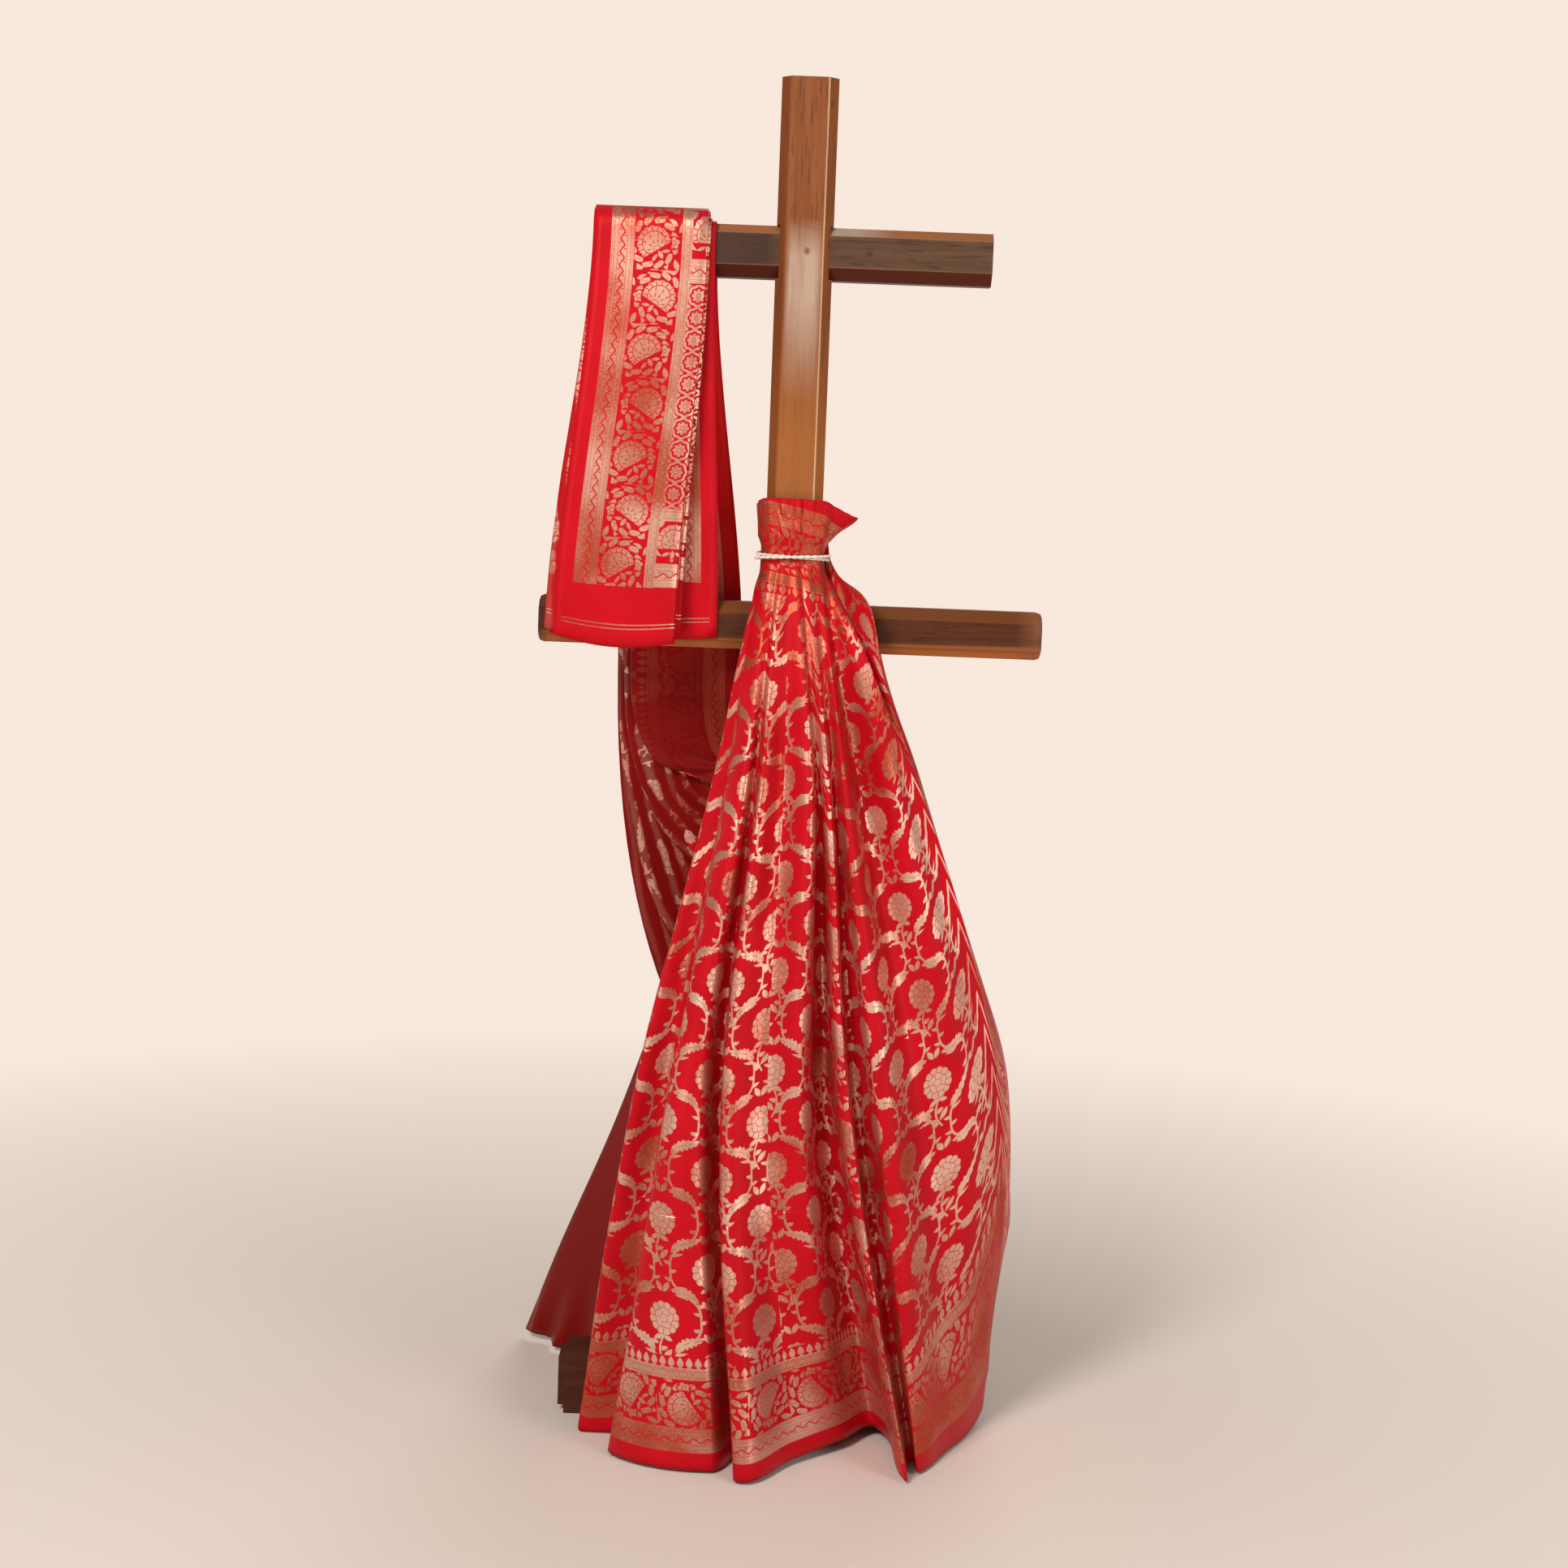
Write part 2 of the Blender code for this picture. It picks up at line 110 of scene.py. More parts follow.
class Value:
    def __init__(self, tree, socket):
        self.tree, self.socket = tree, socket

    def op(self, name, *others, clamp=False):
        node = new_node(self.tree, "Math")
        node.operation = name
        node.use_clamp = clamp
        for slot, item in enumerate((self, *others)):
            plug(node.inputs[slot], item)
        return Value(self.tree, node.outputs[0])

    __add__ = __radd__ = maths("ADD")
    __sub__ = maths("SUBTRACT")
    __mul__ = maths("MULTIPLY")
    __truediv__ = maths("DIVIDE")
    __abs__ = maths("ABSOLUTE")
    sin = maths("SINE")
    cos = maths("COSINE")
    floor = maths("FLOOR")
    mod = maths("FLOORED_MODULO")
    least = maths("MINIMUM")
    most = maths("MAXIMUM")
    over = maths("GREATER_THAN")
    under = maths("LESS_THAN")

    def __rsub__(self, other):
        return self.op("MULTIPLY_ADD", -1.0, other)

    def angle(self, x):
        """The angle of the point (x, self) about the origin."""
        return self.op("ARCTAN2", x)

    def length(self, other):
        return (self * self + other * other).op("SQRT")

    def wrapped(self, period):
        """Repeats every period, from minus half of it to half of it."""
        return (self + period / 2).mod(period) - period / 2


def plug(socket, item):
    """Links a socket to a value or to another socket, or sets it to a constant."""
    item = item.socket if isinstance(item, Value) else item
    if isinstance(item, bpy.types.NodeSocket):
        socket.id_data.links.new(item, socket)
    else:
        socket.default_value = item


def feed(node, **inputs):
    """Plugs inputs by name, with _ for a space."""
    for name, item in inputs.items():
        plug(node.inputs[name.replace("_", " ")], item)
    return node


def new_node(tree, kind, **inputs):
    return feed(tree.nodes.new("ShaderNode" + kind), **inputs)


EDGE_SOFTNESS = 0.8


def filled(distance, softness=EDGE_SOFTNESS):
    """1 where a distance from an outline, in millimetres, is negative, with a soft edge."""
    return distance.op("MULTIPLY_ADD", -1 / softness, 0.5, clamp=True)


def band(value, low, high):
    """1 between two values, with soft edges."""
    return filled(abs(value - (low + high) / 2) - (high - low) / 2)


def line(distance, half_width):
    return filled(abs(distance) - half_width)


def lines_in(value, places, half_width):
    """Thin lines at several values."""
    nearest = abs(value - places[0])
    for place in places[1:]:
        nearest = nearest.least(abs(value - place))
    return filled(nearest - half_width)


def leaf(x, y, at, degrees, length, width):
    """A pointed leaf from a point along a direction, widest in the middle."""
    c, s = cos(radians(degrees)), sin(radians(degrees))
    k, w = 2 / length, width / 2 / EDGE_SOFTNESS
    along = x.op("MULTIPLY_ADD", c * k, y.op("MULTIPLY_ADD", s * k, -1 - (at[0] * c + at[1] * s) * k))
    c, s = c / EDGE_SOFTNESS, s / EDGE_SOFTNESS
    across = abs(x.op("MULTIPLY_ADD", -s, y.op("MULTIPLY_ADD", c, at[0] * s - at[1] * c)))
    return (along * along).op("MULTIPLY_ADD", -w, w + 0.5).op("SUBTRACT", across, clamp=True)


def leaves_at(x, y, leaves):
    shape = leaf(x, y, *leaves[0])
    for item in leaves[1:]:
        shape = shape.most(leaf(x, y, *item))
    return shape


def node_group(name, inputs, make):
    """A node group of number inputs and one number output."""
    group = bpy.data.node_groups.new(name, "ShaderNodeTree")
    for item in inputs:
        group.interface.new_socket(item, in_out="INPUT", socket_type="NodeSocketFloat")
    group.interface.new_socket("gold", in_out="OUTPUT", socket_type="NodeSocketFloat")
    start = group.nodes.new("NodeGroupInput")
    end = group.nodes.new("NodeGroupOutput")
    made = make(*(Value(group, start.outputs[i]) for i in range(len(inputs))))
    plug(end.inputs[0], made)
    return group


def use_group(group, *values):
    tree = values[0].tree
    node = new_node(tree, "Group")
    node.node_tree = group
    for slot, item in enumerate(values):
        plug(node.inputs[slot], item)
    return Value(tree, node.outputs[0])


def choose(share, first, second):
    """First where the share is 1, second where it is 0."""
    return (first - second) * share + second


# The pattern. Millimetres on the flat cloth: u along it, e from the nearer selvedge.

FINE = 0.6
DIAGONAL = 0.707
NET_COLUMN = 50.0
NET_PERIOD = 113.0
FAN_PITCH = 61.0
VINE_PITCH = 15.0
LATTICE_PITCH = 25.0

Leaf = namedtuple("Leaf", "at degrees length width")
FLOWER_LEAVES = (
    Leaf((-1.5, -19), 205, 12, 5.5),
    Leaf((-1.5, -20), 335, 11, 5),
    Leaf((-7, -29), 160, 9, 4.5),
    Leaf((-6.5, -36), 20, 10, 5),
    Leaf((-2, -46), 50, 15, 6),
    Leaf((-2, -50), 140, 14, 6),
    Leaf((1, 30), 62, 13, 6),
    Leaf((-1, 30), 118, 13, 6),
)
FLOWER_RADIUS = 18.5
FLOWER_PETALS = 12
INNER_PETALS = 5
PETAL_ROUND = 1.7
INNER_SHARE, HEART_SHARE = 0.60, 0.25
STEM_FOOT, STEM_TOP, STEM_BEND = -54, -17, 6


def blossom(x, y):
    """A round flower: outer petals, a ring of inner petals and a heart, parted by thin lines."""
    r, turn = y.length(x), y.angle(x)
    lobes = abs((turn * (FLOWER_PETALS / 2)).cos())
    outer = lobes * r * (2 / FLOWER_PETALS)
    inner = abs((turn * (INNER_PETALS / 2) + 0.6).cos()) * r * (2 / INNER_PETALS)
    heart = FLOWER_RADIUS * HEART_SHARE
    ring = r - FLOWER_RADIUS * INNER_SHARE - (turn * INNER_PETALS + 1.1).sin() * 0.9
    cuts = filled(outer - 0.5, FINE) * ring.over(0.0)
    cuts = cuts.most(filled(abs(ring) - 0.45, FINE))
    cuts = cuts.most(filled(inner - 0.4, FINE) * ring.under(0.0) * r.over(heart))
    cuts = cuts.most(filled(abs(r - heart) - 0.4, FINE))
    return filled(r - FLOWER_RADIUS + PETAL_ROUND - lobes * PETAL_ROUND) * (1 - cuts * 0.85)


def column_motif(u, v):
    """Each column's flower, on its bent stem with leaves. Neighbouring columns are mirrored."""
    column = (u / NET_COLUMN + 0.5).floor()
    odd = column.mod(2)
    x = (u - column * NET_COLUMN) * (1 - odd * 2)
    y = (v + odd * (NET_PERIOD / 2)).wrapped(NET_PERIOD)
    flower = blossom(x * 1.09 + y * 0.2, y * 0.96 - x * 0.16)
    bend = ((y - STEM_TOP + 1) * (pi / 36)).sin() * STEM_BEND
    stem = line(x - bend, 1.0) * band(y, STEM_FOOT, STEM_TOP)
    return flower.most(stem).most(leaves_at(x, y, FLOWER_LEAVES))


NET_ARCH = 15.5
NET_LEAVES = 12
NET_LEAF_OUT = 5.2
NET_LEAF_HALF = 5
LOBED_LEAN = (0.42, 0.91)
LOBE_LENGTH = 5.4
LOBED_SQUARE = 300


def net(u, v):
    """Vines between the columns: stems that arch over each flower, with small and lobed leaves."""
    across = abs(u.wrapped(NET_COLUMN * 2)) - NET_COLUMN / 2
    turn = v * (2 * pi / NET_PERIOD)
    wave = turn.cos()
    square = wave * wave
    off = (across - wave * (square * -0.5 + 1.5) * NET_ARCH) * (square * 0.4 + 0.6)
    step = NET_PERIOD / NET_LEAVES
    number = (v / step).floor()
    p = v - number * step - step / 2
    q = off * (1 - number.mod(2) * 2)
    along, aside = (p + q) * DIAGONAL - NET_LEAF_OUT, (q - p) * DIAGONAL
    leaves = filled(abs(aside) - (NET_LEAF_HALF**2 - along * along) * 0.10)
    run = (v - NET_PERIOD / 4).wrapped(NET_PERIOD / 2)
    beside = across * (turn.sin().over(0.0) * 2 - 1)
    c, s = LOBED_LEAN
    length = run * c - beside * s
    width = run * s + beside * c + length * length * 0.014 - 2
    lobes = abs((length * (pi / LOBE_LENGTH)).sin()) * 0.42 + 0.58
    lobed = filled(abs(width) - (LOBED_SQUARE - length * length) * lobes * 0.021)
    lobed = lobed * (1 - line(width, 0.4) * 0.8)
    return leaves.most(line(off, 1.0)).most(lobed)


def scroll(u, v):
    """A thin scrolling vine with a curl in each bend, along a strip 9 mm high."""
    wave = (u * (2 * pi / VINE_PITCH)).sin()
    stem = line(v - wave * 2.4, 1.15)
    half = u / (VINE_PITCH / 2)
    bend = half.floor()
    x = (half - bend - 0.5) * (VINE_PITCH / 2)
    y = v * (1 - bend.mod(2) * 2) + 0.6
    curl = line(y.length(x) - 2.2, 1.1) * (1 - filled(y - x - 2.4))
    drop = filled((y + 2.6).length(x - 3.4) - 1.3)
    return stem.most(curl).most(drop)


GOLD_BAND = 27.0
RIB_PITCH = 1.7


def gold_band(u, v):
    """A gold band of fine ribs and ruled lines, with a dark vine down its middle."""
    middle = abs(v - GOLD_BAND / 2)
    rules = line(middle - 5.4, 0.4).most(line(middle - 9.6, 0.35)).most(line(middle - 12.0, 0.3))
    ribs = abs((v * (pi / RIB_PITCH)).sin()) * 0.16 + 0.84
    vine = scroll(u, v - GOLD_BAND / 2) * filled(middle - 5.0)
    return filled(middle - GOLD_BAND / 2) * (1 - rules * 0.7) * (1 - vine * 0.9) * ribs


def ribbed(v, width):
    """A narrow gold stripe with thin lines in it."""
    return band(v, 0, width) * (1 - lines_in(v, (width * 0.22, width * 0.78), 0.3) * 0.75)


FOOT_LEAVES = (
    Leaf((0, -10.5), 268, 10, 5),
    Leaf((-3, -13), 205, 10, 3.6),
    Leaf((3, -13), 335, 10, 3.6),
)
SHELL_RADIUS = 18.0
SHELL_PETALS = 16
SHELL_RIM = 13.4
SHELL_FOOT = -8.5


def fan(x, y):
    """A round shell that opens along y, cut flat at its foot: a rim of petals, and rows of short ribs."""
    r, turn = x.length(y), x.angle(y) * (SHELL_PETALS / 2)
    shell = filled(r - SHELL_RADIUS - abs(turn.cos()) * 1.6) * filled(SHELL_FOOT - y)
    petals = filled(abs(turn.sin()) * r * (2 / SHELL_PETALS) - 0.6, FINE) * r.over(SHELL_RIM)
    foot_y = y - SHELL_FOOT + 0.5
    far, spread = x.length(foot_y), x.angle(foot_y)
    ribs = filled(abs((spread * 6).sin()) * far * 0.165 - 0.6, FINE) * band(far.mod(7.0), 1.0, 5.4)
    inside = ribs * r.under(SHELL_RIM - 0.8) * far.over(4.0)
    shell = shell * (1 - petals.most(inside).most(line(r - SHELL_RIM, 0.6)) * 0.9)
    return shell.most(leaves_at(x, y, FOOT_LEAVES) * y.under(SHELL_FOOT - 1.1))


FAN_LEAVES = (
    Leaf((-31, -4), 100, 16, 6.5),
    Leaf((-30, -12), 20, 15, 6.5),
    Leaf((-18, -20), 200, 14, 6),
    Leaf((12, -24), 330, 14, 6),
    Leaf((20, -22), 70, 13, 5.5),
    Leaf((28, -10), 130, 15, 6.5),
    Leaf((31, 4), 95, 14, 6),
    Leaf((24, 12), 60, 15, 6),
    Leaf((-24, 14), 130, 13, 5.5),
    Leaf((-22, 22), 190, 13, 5),
)
FAN_TILT = radians(32)
FAN_BAND = 55
FAN_OFF = 5
FAN_CLEAR = 20.8
WREATH_RADIUS = 25.2
WREATH_STEP = 12.5
BLOOM_OFF = 18
BLOOM_RADIUS = 4.6


def fan_border(u, v):
    """Fans on alternate sides of the band, leaning outwards, each in a wreath of leaves."""
    number = (u / FAN_PITCH).floor()
    side = 1 - number.mod(2) * 2
    along = u - number * FAN_PITCH - FAN_PITCH / 2
    across = (v - FAN_BAND / 2) * side
    off = across - FAN_OFF
    y = along * cos(FAN_TILT) + off * sin(FAN_TILT)
    x = off * cos(FAN_TILT) - along * sin(FAN_TILT)
    r = x.length(y)
    place = (x.angle(y) * (6 / pi) + r * 0.06).wrapped(1.0) * WREATH_STEP
    rise = r - WREATH_RADIUS
    wreath = filled(abs(place) - (18.5 - rise * rise) * 0.29) * (1 - line(place, 0.3) * 0.7)
    shape = choose(r.under(WREATH_RADIUS + 4.2), wreath, leaves_at(along, across, FAN_LEAVES))
    bloom_x, bloom_y = along - 0.5, across + BLOOM_OFF
    near = bloom_x.length(bloom_y)
    bloom = filled(near - BLOOM_RADIUS - abs((bloom_y.angle(bloom_x) * 2.5).cos()) * 2.2)
    bloom = bloom * (1 - line(near - 2.4, 0.5) * 0.8)
    shape = choose(filled(near - BLOOM_RADIUS - 3.4), bloom, shape)
    shape = choose(r.under(FAN_CLEAR), fan(x, y), shape)
    return shape * band(v, 0.8, FAN_BAND - 0.8)


BUD_PITCH = 9.6


def bud_row(u, v):
    """A row of pointed buds standing on a stripe."""
    x = u.wrapped(BUD_PITCH)
    share = (v - 2.6) / 10.5
    body = share.op("SQRT") * (1 - share) * 9.0
    bud = filled(abs(x) - body) * band(v, 2.4, BUDS)
    foot = filled(abs(x) - (3.0 - v) * 1.3) * band(v, 0, 3.4)
    return bud.most(foot).most(line(v - 0.3, 0.5))


RING_RADIUS = 10.2
ROSETTE_RADIUS = 4.8


def lattice(u, v):
    """Round rosettes in scalloped rings, touching, with small flowers between them."""
    x, y = (value.wrapped(LATTICE_PITCH) for value in (u, v))
    r, turn = x.length(y), y.angle(x) * 4
    scallop = abs(turn.cos())
    ring = line(r - RING_RADIUS - scallop * 1.3, 1.25)
    rosette = filled(r - ROSETTE_RADIUS - scallop * 3.0) * (1 - line(r - 2.2, 0.45) * 0.8)
    rosette = rosette * (1 - filled(abs(turn.sin()) * r * 0.25 - 0.22, FINE) * r.over(2.4) * 0.8)
    far_x, far_y = ((value + LATTICE_PITCH / 2).wrapped(LATTICE_PITCH) for value in (u, v))
    gap, spin = far_x.length(far_y), far_y.angle(far_x)
    small = filled(gap - 2.6 - abs((spin * 2).cos()) * 2.0) * (1 - line(gap - 1.4, 0.35) * 0.8)
    return ring.most(rosette).most(small)


PALMETTE_LEAVES = (
    Leaf((-10, -17), 150, 15, 6),
    Leaf((10, -17), 30, 15, 6),
    Leaf((-20, -8), 95, 18, 6.5),
    Leaf((20, -8), 85, 18, 6.5),
    Leaf((-20, 14), 60, 14, 6),
    Leaf((20, 14), 120, 14, 6),
    Leaf((0, -14), 270, 10, 5),
)
PALMETTE_PITCH = 44.0
PALMETTE_BAND = 49
PALMETTE_CLEAR = 20.6


def palmettes(u, v):
    """A row of upright fans with leaves between."""
    x, y = v.wrapped(PALMETTE_PITCH), u - (PALMETTE_BAND + 1) / 2
    clear = filled(x.length(y) - PALMETTE_CLEAR)
    return choose(clear, fan(x, y), leaves_at(x, y, PALMETTE_LEAVES)) * band(u, 1, PALMETTE_BAND - 1)


PalluRows = namedtuple("PalluRows", "stripe row rule rosettes stripe_2 row_2 rule_2 buds body")
PALLU_ROWS = PalluRows(67, 96, 144, 158, 412, 443, 494, 500, 515)
PALLU_THREADS = 22.2
BODY_GAP = 14
END_THREAD = 13
BORDER_START = 20.0
BORDER_WIDTH = 114.0
BUDS = 13.0
END_PLAIN = 255.0


def sari_weave(u, near_hem, near_neck, to_end):
    """How much of the surface is gold thread, from four distances on the cloth."""

    def drawn(name, make, across, up):
        return use_group(node_group(name, ("along", "across"), make), across, up)

    e = near_hem.least(near_neck)
    rows, v = PALLU_ROWS, near_hem
    in_border, in_pallu = e.under(BORDER_WIDTH), u.under(rows.body)
    second = u.over((rows.rosettes + rows.stripe_2) / 2)
    stripe_u = u - second * (rows.stripe_2 - rows.stripe + 1) - rows.stripe - 1
    bands = drawn(
        "gold_band", gold_band, choose(in_border, u, v), choose(in_border, e - BORDER_START, stripe_u)
    )
    fans_from = BORDER_START + GOLD_BAND
    edge_from = fans_from + FAN_BAND
    side = drawn("fan_border", fan_border, u, e - fans_from)
    side = side.most(ribbed(e - edge_from, BORDER_WIDTH - edge_from))
    body = drawn("body", lambda a, b: net(a, b).most(column_motif(a, b)), u, v)
    body = body * filled(BORDER_WIDTH + BODY_GAP - e)
    cross = drawn("palmettes", palmettes, u - second * (rows.row_2 - rows.row) - rows.row, v)
    cross = cross.most(ribbed(u - rows.rule, rows.rosettes - rows.rule))
    cross = cross.most(drawn("lattice", lattice, u, v) * band(u, rows.rosettes, rows.stripe_2))
    cross = cross.most(ribbed(u - rows.rule_2, rows.buds - rows.rule_2))
    bud_v = choose(in_pallu, u - rows.buds, e - BORDER_WIDTH)
    middle = choose(in_pallu, cross, body).most(drawn("bud_row", bud_row, choose(in_pallu, v, u), bud_v))
    woven = choose(in_border, side, middle).most(bands)
    woven = woven * u.over(rows.stripe) * to_end.over(END_PLAIN)
    threads = line(abs(u - PALLU_THREADS) - 2.2, 0.55) * e.over(9.0)
    return woven.most(threads).most(line(to_end - END_THREAD, 0.7))


def cloth_place(tree, name="cloth"):
    node = new_node(tree, "UVMap")
    node.uv_map = name
    return node.outputs["UV"]


def object_place(tree):
    return new_node(tree, "TexCoord").outputs["Object"]


def millimetres(tree, place):
    """The three numbers of a place, in millimetres."""
    split = new_node(tree, "SeparateXYZ", Vector=place)
    return [Value(tree, output) * 1000 for output in split.outputs]


def mapped(tree, place, scale, location=(0, 0, 0)):
    """A place scaled along each axis, and moved."""
    return new_node(tree, "Mapping", Vector=place, Scale=scale, Location=location).outputs[0]


def noise(tree, place, scale, detail, roughness=0.5, distortion=0.0):
    node = new_node(tree, "TexNoise", Vector=place, Scale=scale, Detail=detail)
    feed(node, Roughness=roughness, Distortion=distortion)
    return Value(tree, node.outputs["Fac"])


def fade(value, low, high):
    """Rises from 0 at low to 1 at high."""
    return ((value - low) / (high - low)).op("ADD", 0.0, clamp=True)


def mix_colour(tree, share, first, second):
    """Mixes two colours, each a triple or a socket."""
    node = new_node(tree, "Mix")
    node.data_type = "RGBA"
    node.clamp_factor = True
    for slot, item in ((0, share), (6, first), (7, second)):
        plug(node.inputs[slot], (*item, 1) if isinstance(item, tuple) else item)
    return node.outputs[2]


def bump(tree, height, strength, distance):
    return new_node(tree, "Bump", Height=height, Strength=strength, Distance=distance).outputs[0]


def new_material(name, roughness=0.5, **constants):
    made = bpy.data.materials.new(name)
    made.use_nodes = True
    shader = feed(made.node_tree.nodes["Principled BSDF"], Roughness=roughness, **constants)
    return made, made.node_tree, shader


CRIMSON = (0.56, 0.005, 0.014)
CRIMSON_DEEP = (0.42, 0.003, 0.009)
ZARI = (0.46, 0.100, 0.050)
ZARI_PALE = (0.80, 0.52, 0.40)
# The reverse's reds: partly the duller reverse side, partly painted shade, dark as the reverse looks in
# shade.
SHADED_REVERSE = (0.24, 0.003, 0.004)
SHADED_REVERSE_DEEP = (0.16, 0.002, 0.003)
# Painted light: a bright red for the reverse where the drop hangs behind the bar in shade, brighter than the
# face's own red.
DROP_PAINTED_LIGHT_RED = (0.74, 0.010, 0.012)
# Painted shade: a dark red for the face of the plain end, which lies in shade.
END_PAINTED_SHADE_RED = (0.18, 0.001, 0.001)
SHEEN_TINT = (1.0, 0.32, 0.28, 1)
TWILL_PITCH, RIB_STEP = 0.9, 1.1
CREASES_AT = (288, 562)
# Spacing of the painted sheen streaks on the swag.
PLEAT_SHEEN_PITCH = 22
FRONT_LENGTH, HANGS_TO, HANGS_FROM = 500, 950, 1100


def silk_material(name, weave, is_reverse):
    made, tree, shader = new_material(name, 0.4, Specular_IOR_Level=0.22, Specular_Tint=SHEEN_TINT)
    place = cloth_place(tree)
    u, near_hem, _ = millimetres(tree, place)
    to_end, near_neck, _ = millimetres(tree, cloth_place(tree, "edges"))
    gold = use_group(weave, u, near_hem, near_neck, to_end)
    tone = noise(tree, place, 14, 3)
    thread = noise(tree, mapped(tree, place, (1, 0.22, 1)), 900, 1)
    worn = noise(tree, place, 8, 2) * 3.4 - near_hem.least(near_neck).under(BORDER_WIDTH) * 0.25
    # Near the tie the gold is painted less pale, a painted shade that calms its highlights there, and it is
    # also made rougher.
    dulled_near_tie = fade(near_neck, 360, 160) * u.over(HANGS_FROM)
    metal = mix_colour(tree, thread + worn - dulled_near_tie * 0.5 - 1.6, ZARI, ZARI_PALE)
    if is_reverse:
        # Painted light: where the cloth hangs down behind the bar, its reverse is painted bright red against
        # the shade it hangs in, and more of its gold shows.
        painted_light_drop = fade(u, HANGS_FROM, HANGS_TO) * (u.over(FRONT_LENGTH) * 0.6 + 0.4)
        # The reverse ground: its own duller red, darkened further as painted shade.
        ground = mix_colour(tree, tone, SHADED_REVERSE_DEEP, SHADED_REVERSE)
        ground = mix_colour(tree, painted_light_drop, ground, DROP_PAINTED_LIGHT_RED)
        muted = near_neck.under(BORDER_START + GOLD_BAND) * 0.3 + painted_light_drop * 0.3 + 0.05
        # Away from the neck selvedge, the reverse shows its gold only in streaks, each with a pale line:
        # partly the zari floats of the reverse, partly painted sheen along pleats.
        ridge = filled(abs((near_hem + tone * 30).wrapped(PLEAT_SHEEN_PITCH)) - 4.0, 4.0)
        gold = choose(fade(near_neck, 200, 170), gold * muted, (gold * 0.8 + 0.13) * ridge)
    else:
        ground = mix_colour(tree, tone * 1.6 - 0.3, CRIMSON_DEEP, CRIMSON)
        # Painted shade: the face is painted dark red towards the plain cut end.
        ground = mix_colour(tree, fade(to_end, END_PLAIN + 10, END_PLAIN - 60), ground, END_PAINTED_SHADE_RED)
    feed(shader, Base_Color=mix_colour(tree, gold, ground, metal), Metallic=gold * 0.8)
    feed(shader, Roughness=dulled_near_tie * 0.12 + 0.39 - gold * 0.03)
    twill = ((u + near_hem) * (2 * pi / TWILL_PITCH)).sin() * 0.12
    rib = (near_hem * (2 * pi / RIB_STEP)).sin() * 0.10
    storage = lines_in(near_hem, CREASES_AT, 2.2) * -4
    feed(shader, Normal=bump(tree, twill + rib + storage, 0.35, 0.0004))
    return made


# Wood

Wood = namedtuple("Wood", "dark mid light axis seed")


class WoodLook:
    """Oiled hardwood: grain along one axis, with darker pores and a slow change of tone. It is painted
    over where its colour differs."""

    def __init__(self, name, wood):
        self.made, self.tree, self.shader = new_material(name, 0.4, Specular_IOR_Level=0.2)
        place = object_place(self.tree)
        self.x, self.y, self.z = millimetres(self.tree, place)
        stretch = [1.0, 1.0, 1.0]
        stretch[wood.axis] = 0.07
        self.place = mapped(self.tree, place, stretch, (wood.seed, wood.seed * 1.7, wood.seed * 0.6))
        self.figure = (self.grain(16, 3, 0.5, 1.2) * 26).sin() * 0.5 + 0.5
        self.streak = self.grain(95, 4)
        tone = self.grain(9, 2)
        pore = filled((self.grain(420, 2) - 0.40) * 30, 1.0)
        self.colour = wood.dark
        self.paint(self.figure * 0.30 + self.streak * 0.75 + tone * 0.5 - 0.42, wood.light)
        self.paint(tone * 0.9 - 0.1, wood.mid)
        self.paint(pore * 0.45, tuple(c * 0.45 for c in wood.dark))

    def grain(self, scale, detail, roughness=0.55, distortion=0.0):
        return noise(self.tree, self.place, scale, detail, roughness, distortion)

    def paint(self, share, colour):
        self.colour = mix_colour(self.tree, share, self.colour, colour)

    def finished(self, roughness):
        height = self.streak * 0.7 + self.figure * 0.3
        feed(self.shader, Base_Color=self.colour, Roughness=self.streak * 0.25 + roughness)
        feed(self.shader, Normal=bump(self.tree, height, 0.25, 0.0006))
        return self.made


POST_WOOD = Wood((0.12, 0.032, 0.007), (0.23, 0.066, 0.016), (0.32, 0.105, 0.030), 2, 3.1)
UPPER_WOOD = Wood((0.060, 0.026, 0.012), (0.095, 0.046, 0.022), (0.17, 0.095, 0.052), 0, 8.3)
LOWER_WOOD = Wood((0.040, 0.009, 0.003), (0.070, 0.017, 0.005), (0.14, 0.042, 0.013), 0, 12.9)
BASE_WOOD = Wood((0.05, 0.012, 0.005), (0.085, 0.019, 0.007), (0.13, 0.035, 0.014), 0, 5.5)
KNOT_Z = 1403
SCRATCHES_Z = (1451, 1444, 1433)
UPPER_BAR_EDGES = (1422.2, 1386.0)


def post_material():
    look = WoodLook("post_wood", POST_WOOD)
    x, y, z = look.x, look.y, look.z
    cloudy = look.grain(22, 4, 0.6, 0.6)
    tan, worn, scratched = (0.37, 0.125, 0.028), (0.42, 0.29, 0.21), (0.12, 0.05, 0.03)
    look.paint(fade(z, 1330, 1180) * 0.75 * (cloudy * 0.7 + 0.5), tan)
    front = filled(y + 30, 3.0) * filled(abs(x) - 19, 6.0)
    patch = fade(z, 1440, 1395) * fade(z, 1230, 1350)
    look.paint(patch * fade(cloudy + look.streak * 0.4, 0.42, 0.72) * front, worn)
    scratches = lines_in(z + x * 0.22 + cloudy * 3, SCRATCHES_Z, 0.5)
    look.paint(scratches * front * 0.45, scratched)
    knot = (x - 3).length((z - KNOT_Z) * 0.8)
    look.paint(filled(knot - 3.2, 2.5) * front * 0.7, (0.10, 0.035, 0.015))
    # Painted shade on the post's left side, away from the light, and a painted highlight along its lit right
    # edge.
    look.paint(filled(x + 23.5, 2.0) * 0.6, (0.13, 0.028, 0.007))
    lit_edge = line(x - 21.8, 0.8) * filled(y + 28, 3.0)
    look.paint(lit_edge * (look.streak * 0.8 + 0.3), (0.78, 0.50, 0.32))
    return look.finished(0.34)


